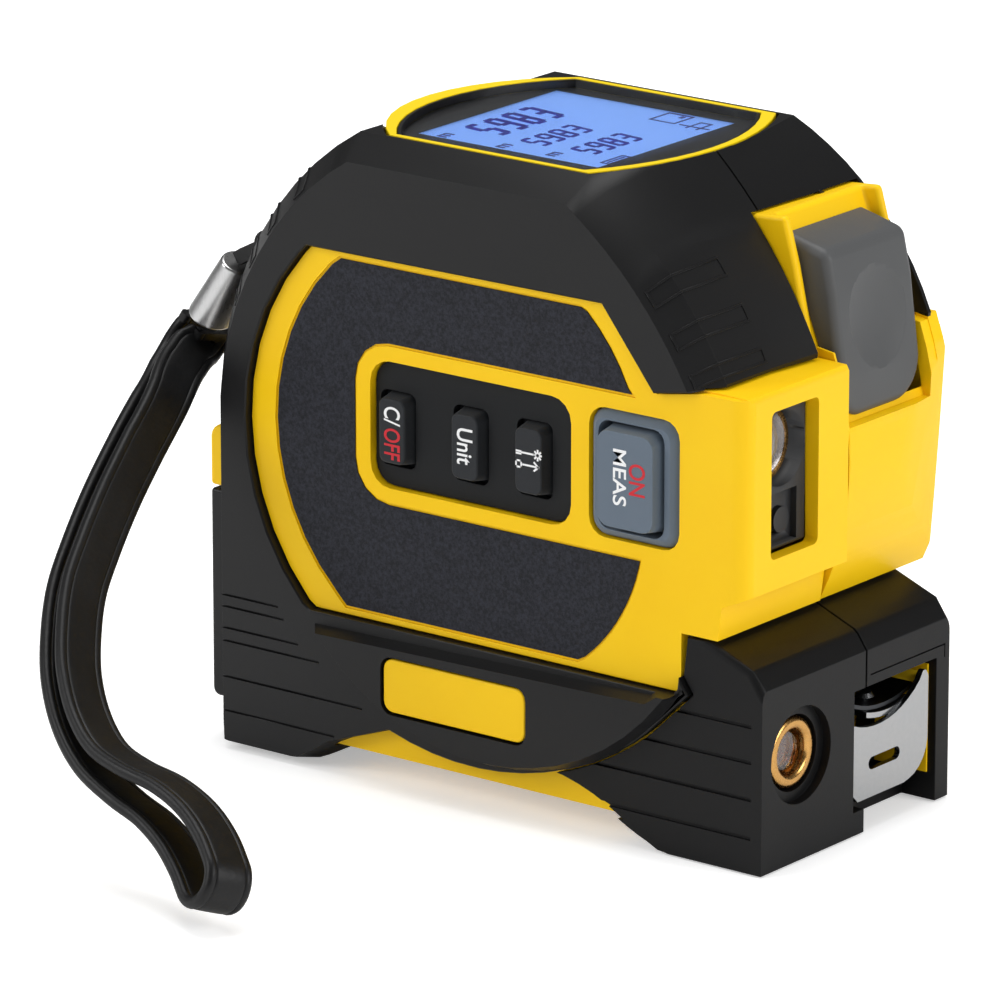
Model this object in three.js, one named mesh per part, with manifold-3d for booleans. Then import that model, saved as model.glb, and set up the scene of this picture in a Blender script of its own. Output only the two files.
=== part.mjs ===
// A pocket tape measure with a laser distance meter and a line laser, in millimetres, +Z up.
// It is drawn with x = 0 at the front face of the base and x growing forwards, y = 0 at the joint between the
// two half shells and y growing away from the keypad, and z = 0 at the feet. The outer group then moves the
// origin to the middle of the footprint.
import * as THREE from "three";
import { mergeVertices } from "three/addons/utils/BufferGeometryUtils.js";
import Module from "manifold-3d";

const wasm = await Module();
wasm.setup();

// ---- Driving dimensions ----
const LENGTH = 88.2; // rear of the spine to the front face of the base
const TOP = 82; // flat top of the black cap
const NEAR_FACE = -22.3; // side face of the near grip
const NEAR_RIM = -18.5; // where the near chamfer meets the rim
const FAR_RIM = 20.5;
const FAR_FACE = 23.5;
const BELLY_FACE = -24.1; // the proudest face of the keypad side
const CLIP_FACE = 28.45; // outside of the belt clip
const GRIP_WALL = 1.7; // black cover over the yellow shell
const CAP_WALL = 2.2;
const SHELL_WALL = 1.8;
const CHAMFER = 3; // from the rim to the side faces
const GAP = 0.3; // clearance between neighbouring pieces
const SEAM = 0.15; // each half shell stops this far from the joint plane
const PANEL_FACE = -21.2; // yellow panel under the keypad side's cover
const STICKER_FLOOR = -20.9; // bottom of the shallow recess that the sticker lies in
const STICKER = 0.2;
const UNDERSIDE = 3.3; // yellow bottom between the feet

const BASE_NEAR = -21.5; // sides of the front base blocks
const BASE_FAR = 17.7;
const BASE_BACK = -12; // rear of the front base blocks
const BASE_TOP = 28; // where the base meets the yellow body
const SIDE_SKIN = 0.9; // the base's side runs back over the shell this thick

const BLADE_WIDTH = 15.8;
const BLADE_THICKNESS = 0.4;
const BLADE_CENTRE = 5.9; // middle of the blade, across the tool
const BLADE_CROWN = 2; // how far the blade's edges stand above its middle
const BLADE_HEIGHT = 14.4; // underside of the blade's middle
const BLADE_FRONT = -1.5;
const MOUTH = { near: -2.4, far: 14.9, low: 3, high: 18.5 };

const REEL = { x: -42, z: 44.8, flange: 30.2, coil: 27.6, core: 22.4, bore: 4.2, near: -2.9, far: 14.9 };
const FLANGE = 0.7;

const ROUND = 40; // sides of a round piece
const ARC_STEPS = 10; // steps of a bowed outline

// ---- Materials ----
const plastic = (name, color, roughness = 0.5) =>
  new THREE.MeshStandardMaterial({ name, color, roughness, metalness: 0 });
const metal = (name, color, roughness = 0.3) =>
  new THREE.MeshStandardMaterial({ name, color, roughness, metalness: 1 });
const yellow = plastic("yellow_shell", 0xfcc80a, 0.4);
const black = plastic("black_grip", 0x232323, 0.65);
const softBlack = plastic("black_rubber", 0x1c1f24, 0.7);
const blueRubber = plastic("blue_grey_rubber", 0x5f7080, 0.6);
const greyPlastic = plastic("grey_lock", 0x686868, 0.5);
const sticker = plastic("sticker", 0x24262e, 0.8);
const board = plastic("circuit_board", 0x1d5a38, 0.6);
const clearPlastic = plastic("clear_window", 0x30343c, 0.1);
const displayGlass = plastic("display", 0x8db4f7, 0.3);
const lensGlass = plastic("lens", 0xd8dde6, 0.05);
const brass = metal("brass", 0xc08a3e, 0.3);
const steel = metal("steel", 0xc4c6c8, 0.25);
const springSteel = metal("spring_steel", 0x8a8d92, 0.35);
const bladePaint = plastic("blade_paint", 0xf2c61b, 0.4);
const strapLeather = plastic("strap_leather", 0x202022, 0.6);

// ---- Helpers ----
// A three.js geometry as a manifold-3d solid.
function solid(geometry) {
  const bare = geometry.clone();
  bare.deleteAttribute("normal");
  bare.deleteAttribute("uv");
  const merged = mergeVertices(bare, 1e-4);
  const mesh = new wasm.Mesh({
    numProp: 3,
    vertProperties: new Float32Array(merged.attributes.position.array),
    triVerts: new Uint32Array(merged.index.array),
  });
  return new wasm.Manifold(mesh);
}

// A solid back as a three.js geometry.
function geometryOf(made) {
  const mesh = made.getMesh();
  const geometry = new THREE.BufferGeometry();
  geometry.setAttribute("position", new THREE.BufferAttribute(mesh.vertProperties, 3));
  geometry.setIndex(new THREE.BufferAttribute(mesh.triVerts, 1));
  geometry.computeVertexNormals();
  return geometry;
}

const vec = ([x, z]) => new THREE.Vector2(x, z);

// Points on the circle through three points, from the first to the last.
function bow(from, via, to, steps = ARC_STEPS) {
  const [ax, ay, bx, by, cx, cy] = [...from, ...via, ...to];
  const turn = 2 * (ax * (by - cy) + bx * (cy - ay) + cx * (ay - by));
  const [a2, b2, c2] = [ax * ax + ay * ay, bx * bx + by * by, cx * cx + cy * cy];
  const ox = (a2 * (by - cy) + b2 * (cy - ay) + c2 * (ay - by)) / turn;
  const oy = (a2 * (cx - bx) + b2 * (ax - cx) + c2 * (bx - ax)) / turn;
  const radius = Math.hypot(ax - ox, ay - oy);
  const angleOf = (x, y) => Math.atan2(y - oy, x - ox);
  const start = angleOf(ax, ay);
  let sweep = angleOf(cx, cy) - start;
  const clockwise = turn < 0;
  if (clockwise && sweep > 0) sweep -= 2 * Math.PI;
  if (!clockwise && sweep < 0) sweep += 2 * Math.PI;
  return Array.from({ length: steps + 1 }, (_, i) => {
    const angle = start + (sweep * i) / steps;
    return [ox + radius * Math.cos(angle), oy + radius * Math.sin(angle)];
  });
}

// A rectangle with round corners.
function roundedBox(x0, z0, x1, z1, radius, steps = 4) {
  const corners = [
    [x1 - radius, z0 + radius, -90],
    [x1 - radius, z1 - radius, 0],
    [x0 + radius, z1 - radius, 90],
    [x0 + radius, z0 + radius, 180],
  ];
  return corners.flatMap(([x, z, start]) =>
    Array.from({ length: steps + 1 }, (_, i) => {
      const angle = THREE.MathUtils.degToRad(start + (90 * i) / steps);
      return [x + radius * Math.cos(angle), z + radius * Math.sin(angle)];
    }),
  );
}

function circle(x, z, radius, sides = ROUND) {
  return Array.from({ length: sides }, (_, i) => {
    const angle = (2 * Math.PI * i) / sides;
    return [x + radius * Math.cos(angle), z + radius * Math.sin(angle)];
  });
}

// An outline in x and z as a slab from y0 to y1.
function slab(points, y0, y1) {
  const geometry = new THREE.ExtrudeGeometry(new THREE.Shape(points.map(vec)), {
    depth: y1 - y0,
    bevelEnabled: false,
  });
  geometry.rotateX(Math.PI / 2);
  geometry.translate(0, y1, 0);
  return solid(geometry);
}

// An outline in y and z as a bar from x0 to x1.
function bar(points, x0, x1) {
  const geometry = new THREE.ExtrudeGeometry(new THREE.Shape(points.map(vec)), {
    depth: x1 - x0,
    bevelEnabled: false,
  });
  geometry.rotateX(Math.PI / 2);
  geometry.rotateZ(Math.PI / 2);
  geometry.translate(x0, 0, 0);
  return solid(geometry);
}

// An outline in x and y as a plate from z0 to z1.
function plate(points, z0, z1) {
  const geometry = new THREE.ExtrudeGeometry(new THREE.Shape(points.map(vec)), {
    depth: z1 - z0,
    bevelEnabled: false,
  });
  geometry.translate(0, 0, z0);
  return solid(geometry);
}

// A closed skin over rings that all have the same number of corners, each given as points in space. The rings
// turn anticlockwise for a viewer who sees the first ring in front.
function skin(rings) {
  const count = rings[0].length;
  const index = [];
  rings.slice(1).forEach((_, k) => {
    for (let i = 0; i < count; i++) {
      const [a, b] = [k * count + i, k * count + ((i + 1) % count)];
      index.push(a, b + count, b, a, a + count, b + count);
    }
  });
  const last = (rings.length - 1) * count;
  const cap = THREE.ShapeUtils.triangulateShape;
  cap(flat(rings[0]), []).forEach(([a, b, c]) => index.push(a, b, c));
  cap(flat(rings[rings.length - 1]), []).forEach(([a, b, c]) => index.push(last + c, last + b, last + a));
  const geometry = new THREE.BufferGeometry();
  geometry.setAttribute("position", new THREE.Float32BufferAttribute(rings.flat(2), 3));
  geometry.setIndex(index);
  return solid(geometry);
}

// A ring in space drawn flat, in its own plane.
function flat(ring) {
  const [origin, first, ...rest] = ring.map((point) => new THREE.Vector3(...point));
  const right = first.clone().sub(origin).normalize();
  const normal = new THREE.Vector3();
  [first, ...rest].forEach((point, i, all) => {
    if (i === 0) return;
    const [a, b] = [all[i - 1].clone().sub(origin), point.clone().sub(origin)];
    normal.add(a.cross(b));
  });
  const up = new THREE.Vector3().crossVectors(normal.normalize(), right);
  return [origin, first, ...rest].map((point) => {
    const from = point.clone().sub(origin);
    return new THREE.Vector2(from.dot(right), from.dot(up));
  });
}

// A skin over outlines in x and z, one at each y, in order of y.
function loft(sections) {
  return skin(sections.map(({ y, points }) => upright(points).map(([x, z]) => [x, y, z])));
}

const upright = (points) => (THREE.ShapeUtils.isClockWise(points.map(vec)) ? [...points].reverse() : points);

// Each corner of the outline moved outwards by a distance, or inwards where that is negative.
function shift(ring, distance) {
  return ring.map((here, i) => {
    const before = ring[(i + ring.length - 1) % ring.length];
    const after = ring[(i + 1) % ring.length];
    const inward = new THREE.Vector2(here[0] - before[0], here[1] - before[1]).normalize();
    const outward = new THREE.Vector2(after[0] - here[0], after[1] - here[1]).normalize();
    const normal = new THREE.Vector2(inward.y + outward.y, -inward.x - outward.x);
    const reach = distance / Math.max(0.5, normal.length() / 2);
    normal.normalize().multiplyScalar(reach);
    return [here[0] + normal.x, here[1] + normal.y];
  });
}

// The same, without the short edges that turn over on the way.
function grow(points, distance) {
  const ring = [...upright(points)];
  for (;;) {
    const moved = shift(ring, distance);
    const turned = ring.findIndex((here, i) => {
      const j = (i + 1) % ring.length;
      const along = (ring[j][0] - here[0]) * (moved[j][0] - moved[i][0]);
      const across = (ring[j][1] - here[1]) * (moved[j][1] - moved[i][1]);
      return along + across <= 0;
    });
    if (turned < 0) return moved;
    ring.splice(turned, 1);
  }
}

// A line of points given a thickness, as an outline.
function strip(points, thickness) {
  const side = (sign) =>
    points.map((here, i) => {
      const before = points[Math.max(0, i - 1)];
      const after = points[Math.min(points.length - 1, i + 1)];
      const along = new THREE.Vector2(after[0] - before[0], after[1] - before[1]).normalize();
      return [here[0] - (along.y * sign * thickness) / 2, here[1] + (along.x * sign * thickness) / 2];
    });
  return [...side(1), ...side(-1).reverse()];
}

function block(x0, x1, y0, y1, z0, z1) {
  const geometry = new THREE.BoxGeometry(x1 - x0, y1 - y0, z1 - z0);
  geometry.translate((x0 + x1) / 2, (y0 + y1) / 2, (z0 + z1) / 2);
  return solid(geometry);
}

// A round bar along "x", "y" or "z" from its near end.
function rod(along, x, y, z, radius, length, sides = ROUND, endRadius = radius) {
  const geometry = new THREE.CylinderGeometry(endRadius, radius, length, sides);
  geometry.translate(0, length / 2, 0);
  if (along === "x") geometry.rotateZ(-Math.PI / 2);
  if (along === "z") geometry.rotateX(Math.PI / 2);
  geometry.translate(x, y, z);
  return solid(geometry);
}

// A ring around the reel's axle.
function reelRing(inner, outer, y0, y1) {
  return slab(circle(REEL.x, REEL.z, outer, 48), y0, y1).subtract(
    slab(circle(REEL.x, REEL.z, inner, 48), y0 - 1, y1 + 1),
  );
}

const meter = new THREE.Group();
meter.position.set(LENGTH / 2, -(BELLY_FACE + CLIP_FACE) / 2, 0);

function add(name, made, material) {
  const mesh = new THREE.Mesh(geometryOf(made), material);
  mesh.name = name;
  meter.add(mesh);
  return made;
}

// ---- Outlines of the body, seen from the keypad side ----
const REAR = -86;
const rearFoot = [
  [REAR, 4],
  ...bow([REAR, 3.5], [-85.1, 0.9], [-82.4, 0], 4),
  [-72, 0],
  ...bow([-70.5, 0.1], [-67.5, 1.5], [-64.8, 3.2], 4),
];
const bellyLow = bow([-56.5, 7.4], [-40.5, 5.4], [-16.8, 15], 12);

// The black rim: cap, rear, rear foot and belly, with the front of the cap on a bow through three points.
function rimOutline(frontLow, frontMid, frontTop) {
  return [
    ...bow(frontLow, frontMid, frontTop),
    ...bow([-63.5, TOP], [-77.6, 69.2], [REAR, 46]),
    ...rearFoot,
    ...bellyLow,
    [-10.6, 21],
    [-12, 23],
  ];
}
const nearRim = rimOutline([-7.8, 59.5], [-15, 70.2], [-28.3, TOP]);
const farRim = rimOutline([-5.5, 60.4], [-12.8, 72.1], [-26.5, TOP]);
// Between the rims the front of the cap is fuller at the top, round the display.
const NEAR_BROW = -9.5;
const FAR_BROW = 10.5;
const nearBrow = rimOutline([-7.8, 59.5], [-14.5, 70.7], [-24.6, TOP]);
const middleRim = rimOutline([-6.8, 59.8], [-13.6, 71.4], [-23.1, TOP]);
const farBrow = rimOutline([-5.5, 60.4], [-12.9, 72], [-24.3, TOP]);

// The side face's outline lies inside the rim by the chamfer, though not at the belly and hardly at the foot.
function sideOutline(rim, chamfer) {
  const footStart = 2 * ARC_STEPS + 2;
  const bellyStart = footStart + rearFoot.length;
  return shift(rim, -chamfer).map(([x, z], i) => {
    if (i >= bellyStart) return rim[i];
    return i < footStart ? [x, z] : [x, rim[i][1] + 0.3 * (z - rim[i][1])];
  });
}

// The yellow core inside the black covers.
function coreOutline(front) {
  return [
    [BASE_BACK - GAP, UNDERSIDE],
    [BASE_BACK - GAP, BASE_TOP + GAP],
    ...front,
    [-29.2, TOP - CAP_WALL - GAP],
    ...bow([-62.8, TOP - CAP_WALL - GAP], [-75.6, 67.8], [-83.4, 46]),
    [-83.4, 6],
    [-81, UNDERSIDE],
  ];
}
const nearCore = coreOutline([
  [-6.9, BASE_TOP + GAP],
  [-6.3, 32.6],
  [-3, 34],
  [-3, 58],
  [-3.4, 58.7],
  ...bow([-10.3, 58.9], [-17, 69], [-28.4, TOP - CAP_WALL - GAP]),
]);
const farCore = coreOutline([
  ...bow([-7.2, BASE_TOP + GAP], [-3, 46], [-5.6, 59.6]),
  ...bow([-8.2, 60], [-15.2, 70.4], [-28.4, TOP - CAP_WALL - GAP]),
]);
const chambered = (core) => grow(core, -SHELL_WALL);

// The yellow panel that the keypad side's cover leaves open, and its sticker.
const panel = [
  [-23.8, 67.6],
  [-69.2, 67.4],
  ...bow([-70.4, 66.2], [-79.1, 44.6], [-70, 21.4]),
  [-68.8, 20.6],
  [-12, 20.6],
  [-12, 23],
  [2, 23],
  [2, 58.9],
  [-9.6, 58.9],
  [-16, 57.8],
];
const stickerOutline = [
  [-27.7, 66.3],
  [-64.6, 66.3],
  ...bow([-66, 65.3], [-74.8, 44.2], [-65.6, 23.5], 12),
  [-64, 21.9],
  [-28, 21.9],
  ...bow([-26.9, 22.5], [-21.4, 29], [-18.5, 37]),
  [-18.5, 55],
  ...bow([-20.6, 57.4], [-23.6, 62.4], [-26.8, 65.9], 4),
];
const keyBand = roundedBox(-62.2, 36.4, -6, 56.4, 5); // the sticker leaves this band round the keys open

// ---- Openings shared by several pieces ----
const mouthCut = block(BASE_BACK - 6, 1, MOUTH.near, MOUTH.far, MOUTH.low, MOUTH.high);
const bezelOutline = (spread) => [
  ...bow([-29 + spread, -17.9 - spread], [-23.7 + spread, 0.9], [-28.6 + spread, 19.7 + spread], 12),
  ...bow([-59 - spread, 19.7 + spread], [-68.2 - spread, 0.9], [-59.4 - spread, -17.9 - spread], 12),
];
const glassOutline = (spread) => [
  ...bow([-30.4 + spread, -16.9 - spread], [-24.9 + spread, 0.9], [-30.6 + spread, 18.7 + spread], 12),
  ...bow([-58.9 - spread, 18.7 + spread], [-65.6 - spread, 0.9], [-58.6 - spread, -16.9 - spread], 12),
];
const bezelPocket = plate(bezelOutline(GAP), TOP - CAP_WALL - 0.1, TOP + 2);
const GLASS_TOP = TOP - 0.7;
const GLASS = 0.8;
const display = { x0: -60.6, x1: -32, y0: -12.2, y1: 17, thickness: 1.4 };
const moduleWell = block(display.x0 - 0.4, display.x1 + 0.4, display.y0 - 0.4, display.y1 + 0.4, 70, TOP);
const keypad = { x0: -60, x1: -29, z0: 38.3, z1: 54.5 };
const measure = { x0: -26.3, x1: -12.7, z0: 38.2, z1: 54.5 };
const laser = { y: -13.4, z: 13.4, recess: 6.1, bore: 4.7 };
const rangeWindow = { y0: -15.9, y1: -6.3, z0: 37.8, z1: 56.2 };
const hoodOutline = [
  [-20.4, 73],
  [-18.4, 75.2],
  [-12.3, 75.7],
  [-10.6, 69.8],
  [-8, 58.2],
  [-11, 57.6],
  [-17, 66],
];
const hoodFront = [
  [-14, 90],
  [0, 90],
  [0, 57.6],
  [-11, 57.6],
  [-17, 66],
];
const HOOD_NEAR = -0.9;
const HOOD_FAR = 19.6;
const LOCK = { near: 1, far: 17.8, low: 50.9 };
const LOCK_TRAVEL = 4;
const STEM = 4; // the lock's stem, along the slide
const STEM_NEAR = 6.6;
const STEM_FAR = 10.4;
const lockGate = slab(
  [
    [-4.9, LOCK.low - 0.4],
    [4, LOCK.low - 0.4],
    [4, 80],
    [-16.4, 80],
  ],
  LOCK.near - 0.5,
  LOCK.far + 0.5,
);
const spineCut = block(-90, -80, NEAR_RIM - 0.1, FAR_RIM - 2, 4.4, 41);
const batteryWindow = block(-85, -80, -17.4, 17.4, 7, 31);
const strapPocket = block(-88, -78.4, -17, -10.4, 60.4, 67.6);

const hoodSeat = slab(grow(hoodOutline, GAP), HOOD_NEAR - GAP, HOOD_FAR + GAP);
// The cap stays clear of the hood's front too.
const hoodView = slab(hoodFront, HOOD_NEAR - GAP, HOOD_FAR + GAP);

// Three screws pass through posts outside the reel, and one more holds the belt clip.
const screwPlaces = [
  [-68.5, 24.2],
  [-11.2, 31.6],
  [-68.3, 65.3],
];
const POST = 1.9;
const SCREW = { shank: 0.9, head: 2.2, from: -6.5, seat: 20.9 };
const screwHole = (x, z) =>
  rod("y", x, -8, z, SCREW.shank + GAP, 34, 16).add(rod("y", x, SCREW.seat, z, SCREW.head + GAP, 10, 24));
const CLIP = { x: -44, z: 56, screw: 1.4, head: 2.8 };
const clipHole = rod("y", CLIP.x, 17, CLIP.z, CLIP.screw + GAP, 10, 20);

// ---- Keypad half ----
const NEAR_ROOF = STICKER_FLOOR + SHELL_WALL; // inside of the keypad side's wall
const nearChamber = slab(chambered(nearCore), NEAR_ROOF, 1);
let nearShell = slab(nearCore, NEAR_FACE + GRIP_WALL + GAP, -SEAM)
  .add(slab(grow(panel, -GAP), PANEL_FACE, -10).intersect(slab(nearCore, -30, 0)))
  .subtract(nearChamber);
nearShell = screwPlaces
  .reduce((shell, [x, z]) => shell.add(rod("y", x, NEAR_ROOF - 0.8, z, POST, 0.3 - NEAR_ROOF, 20)), nearShell)
  .subtract(mouthCut)
  .subtract(moduleWell)
  .subtract(batteryWindow)
  .subtract(hoodSeat)
  .subtract(strapPocket)
  .subtract(slab(roundedBox(keypad.x0, keypad.z0, keypad.x1, keypad.z1, 3), -30, -15))
  .subtract(slab(roundedBox(measure.x0, measure.z0, measure.x1, measure.z1, 2.4), -30, -15))
  .subtract(bar(roundedBox(rangeWindow.y0, rangeWindow.z0, rangeWindow.y1, rangeWindow.z1, 0.8), -8, 1));
const stickerRecess = slab(grow(stickerOutline, GAP), -30, STICKER_FLOOR).subtract(slab(keyBand, -30, 0));
nearShell = nearShell.subtract(stickerRecess);
screwPlaces.forEach(([x, z]) => {
  nearShell = nearShell.subtract(rod("y", x, -8, z, SCREW.shank + GAP, 12, 16));
});
add("near_shell", nearShell, yellow);

let nearGrip = loft([
  { y: NEAR_FACE, points: sideOutline(nearRim, CHAMFER) },
  { y: NEAR_RIM, points: nearRim },
  { y: NEAR_BROW, points: nearBrow },
  { y: -SEAM, points: middleRim },
]);
const bellyOutline = [
  ...bow([-68.5, 19.3], [-40.5, 5.9], [-12.4, 19.6], 16),
  [-11.2, 21.4],
  [-13, 22.4],
  [-16, 20.4],
];
nearGrip = nearGrip
  .add(
    loft([
      { y: BELLY_FACE, points: grow(bellyOutline, -1) },
      { y: NEAR_FACE + 0.5, points: bellyOutline },
    ]),
  )
  .subtract(slab(grow(nearCore, GAP), NEAR_FACE + GRIP_WALL, 1))
  .subtract(slab(panel, -30, NEAR_FACE + GRIP_WALL + 0.1))
  .subtract(bezelPocket)
  .subtract(spineCut)
  .subtract(hoodSeat)
  .subtract(hoodView)
  .subtract(block(BASE_BACK - 8, 2, NEAR_FACE + GRIP_WALL, 1, -1, BASE_TOP + GAP))
  .subtract(strapPocket);
const badgeOutline = roundedBox(-56, 10.5, -34, 17.4, 1.4);
nearGrip = nearGrip.subtract(slab(grow(badgeOutline, GAP), -30, BELLY_FACE + 1.3));
add("near_grip", nearGrip, black);
add("badge_plate", slab(badgeOutline, BELLY_FACE + 0.2, BELLY_FACE + 1), yellow);

// The grooves run round the side of a base block and stop short of its front edge.
const grooves = (y0, y1) =>
  [4.3, 9.2, 13.9, 18.4]
    .map((z) => block(-34, -1.6, y0, y1, z, z + 0.5))
    .reduce((joined, next) => joined.add(next));
const baseSide = [
  [0, 0],
  [0, 23.9],
  [-1.9, 25.6],
  [-7.8, BASE_TOP],
  [BASE_BACK, BASE_TOP],
];
const footArc = bow([-29.9, 6.8], [-24, 4.8], [-18.9, 1.8], 5);
const baseOutline = [...baseSide, [-34, 20], [-33, 7.2], ...footArc, [-15.5, 0.2], [-13.5, 0]];
const footOutline = [
  [BASE_BACK + 1, 0],
  [BASE_BACK + 1, UNDERSIDE - GAP],
  ...bow([-21.6, UNDERSIDE - GAP], [-18.5, 1.5], [-14, 0], 5),
];
const nearBase = slab([...baseSide, [BASE_BACK, 0]], BASE_NEAR, -SEAM)
  .add(slab(footOutline, BASE_NEAR, -SEAM))
  .add(slab(baseOutline, BASE_NEAR, BASE_NEAR + SIDE_SKIN))
  .subtract(slab(grow(nearCore, GAP), BASE_NEAR + SIDE_SKIN, 1))
  .subtract(slab(grow(nearRim, GAP), -30, BASE_NEAR + SIDE_SKIN + 0.3))
  .subtract(mouthCut)
  .subtract(grooves(BASE_NEAR - 1, BASE_NEAR + 0.4))
  .subtract(rod("x", -1.2, laser.y, laser.z, laser.recess, 3))
  .subtract(rod("x", -20, laser.y, laser.z, laser.bore + 0.1, 22));
add("near_base", nearBase, black);

add(
  "side_sticker",
  slab(stickerOutline, STICKER_FLOOR - STICKER, STICKER_FLOOR - 0.02)
    .subtract(slab(grow(keyBand, GAP), -30, 0)),
  sticker,
);

// Keys and the mats that they sit in.
const KEY_FACE = -21.7;
const keys = [
  { name: "key_clear_off", x: -56.3 },
  { name: "key_unit", x: -45 },
  { name: "key_mode", x: -35.2 },
];
const KEY_Z = 45.8;
const KEY = { wide: 4.8, high: 9 };
const keyShape = (x, spread) => {
  const [reach, rise] = [KEY.wide / 2 + spread, KEY.high / 2 + spread];
  return roundedBox(x - reach, KEY_Z - rise, x + reach, KEY_Z + rise, 1);
};
let keypadMat = slab(
  roundedBox(keypad.x0 + 0.2, keypad.z0 + 0.2, keypad.x1 - 0.2, keypad.z1 - 0.2, 2.8),
  -20.3,
  -19.2,
);
keys.forEach(({ x }) => {
  keypadMat = keypadMat.subtract(slab(keyShape(x, GAP), -30, -10));
});
add("keypad_mat", keypadMat, softBlack);
const KEY_BACK = -18;
const KEY_FLANGE = -18.9;
keys.forEach(({ name, x }) => {
  const key = loft([
    { y: KEY_FACE, points: keyShape(x, -0.4) },
    { y: KEY_FLANGE, points: keyShape(x, 0) },
    { y: KEY_BACK, points: keyShape(x, 0) },
  ]);
  add(name, key.add(slab(keyShape(x, 1), KEY_FLANGE, KEY_BACK)), softBlack);
});
const measureShape = (spread) => roundedBox(-24.3 - spread, 39.8 - spread, -15 + spread, 52.8 + spread, 1.6);
const skirtShape = (inset, radius) =>
  roundedBox(measure.x0 + inset, measure.z0 + inset, measure.x1 - inset, measure.z1 - inset, radius);
add(
  "measure_key_skirt",
  loft([
    { y: -21.6, points: skirtShape(1.2, 1.4) },
    { y: -20.6, points: skirtShape(0.2, 2.2) },
    { y: -19.2, points: skirtShape(0.2, 2.2) },
  ]).subtract(slab(measureShape(GAP), -30, -10)),
  blueRubber,
);
add(
  "measure_key",
  loft([
    { y: -22.9, points: measureShape(-0.5) },
    { y: KEY_FLANGE, points: measureShape(0) },
    { y: KEY_BACK, points: measureShape(0) },
  ]).add(slab(measureShape(1), KEY_FLANGE, KEY_BACK)),
  blueRubber,
);

// Main board with a switch under each key.
const BOARD = { y0: -15.8, y1: -14.6 };
add(
  "main_board",
  slab(roundedBox(-65.4, 27.6, -14.6, 63, 2), BOARD.y0, BOARD.y1)
    .subtract(slab(circle(-62, 59.5, 1.2, 16), -20, -10))
    .subtract(slab(circle(-18, 31, 1.2, 16), -20, -10)),
  board,
);
const SWITCH_FACE = -17.1;
[...keys, { name: "measure_key", x: -19.6 }].forEach(({ name, x }) => {
  const z = name === "measure_key" ? 46.3 : KEY_Z;
  const body = block(x - 1.5, x + 1.5, SWITCH_FACE + 0.4, BOARD.y0 - 0.05, z - 1.5, z + 1.5);
  add(name.replace("key", "switch"), body.add(rod("y", x, SWITCH_FACE, z, 0.8, 0.6, 16)), greyPlastic);
});
add("buzzer", rod("y", -38, BOARD.y1 + 0.1, 32, 4, 3), softBlack);

// Laser rangefinder in the front box.
const lensY = -11.1;
const lensZ = 50.4;
const emitterZ = 41.3;
const holder = block(-24, -4.6, -14.2, -6.8, 38.3, 55.6)
  .subtract(rod("x", -22, lensY + 0.6, lensZ, 3.4, 20))
  .subtract(rod("x", -22, lensY + 0.6, emitterZ, 2, 20));
add("rangefinder_holder", holder, black);
const lensProfile = [
  [0, 0],
  [3, 0],
  [3, 1],
  [2.2, 1.7],
  [1.1, 2.1],
  [0, 2.2],
].map(vec);
const lensGeometry = new THREE.LatheGeometry(lensProfile, ROUND);
lensGeometry.rotateZ(-Math.PI / 2);
lensGeometry.translate(-8, lensY + 0.6, lensZ);
add("receiver_lens", solid(lensGeometry), lensGlass);
add("emitter", rod("x", -14, lensY + 0.6, emitterZ, 1.6, 8.6), brass);

// Line laser in the base.
add(
  "laser_barrel",
  rod("x", -11.6, laser.y, laser.z, laser.bore - 0.2, 10.4)
    .subtract(rod("x", -10.4, laser.y, laser.z, 2.8, 12)),
  brass,
);
add("laser_lens", rod("x", -3.6, laser.y, laser.z, 2.5, 1.2), lensGlass);

// ---- Tape half ----
const FAR_WALL = FAR_FACE - GRIP_WALL - GAP; // side of the shell under the grip
const FAR_PANEL = 22.1; // and in the panel that the grip leaves open
const farDrum = slab(farCore, SEAM, FAR_WALL)
  .add(slab(grow(panel, -GAP), 10, FAR_PANEL).intersect(slab(farCore, 0, 30)))
  .subtract(slab(chambered(farCore), -1, FAR_WALL - SHELL_WALL));
const farShell = screwPlaces
  .reduce((shell, [x, z]) => shell.add(rod("y", x, 0.5, z, POST, FAR_WALL - 1, 20)), farDrum)
  .subtract(mouthCut)
  .subtract(moduleWell)
  .subtract(batteryWindow)
  .subtract(hoodSeat)
  .subtract(lockGate)
  .subtract(clipHole);
add(
  "far_shell",
  screwPlaces.reduce((shell, [x, z]) => shell.subtract(screwHole(x, z)), farShell),
  yellow,
);

const farCover = loft([
  { y: SEAM, points: middleRim },
  { y: FAR_BROW, points: farBrow },
  { y: FAR_RIM, points: farRim },
  { y: FAR_FACE, points: sideOutline(farRim, CHAMFER) },
])
  .subtract(slab(grow(farCore, GAP), -1, FAR_FACE - GRIP_WALL))
  .subtract(slab(panel, 10, 40))
  .subtract(bezelPocket)
  .subtract(spineCut)
  .subtract(block(BASE_BACK - 8, 2, -1, BASE_FAR + GAP, -1, BASE_TOP + GAP))
  .subtract(hoodSeat)
  .subtract(hoodView)
  .subtract(lockGate);
add("far_grip", farCover, black);

add(
  "far_base",
  slab([...baseSide, [BASE_BACK, 0]], SEAM, BASE_FAR)
    .add(slab(footOutline, SEAM, BASE_FAR))
    .subtract(slab(grow(farCore, GAP), 0, 40))
    .subtract(mouthCut)
    .subtract(block(-5, 1, MOUTH.near, MOUTH.far, -1, MOUTH.high))
    .subtract(grooves(BASE_FAR - 0.4, BASE_FAR + 1)),
  black,
);

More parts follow.
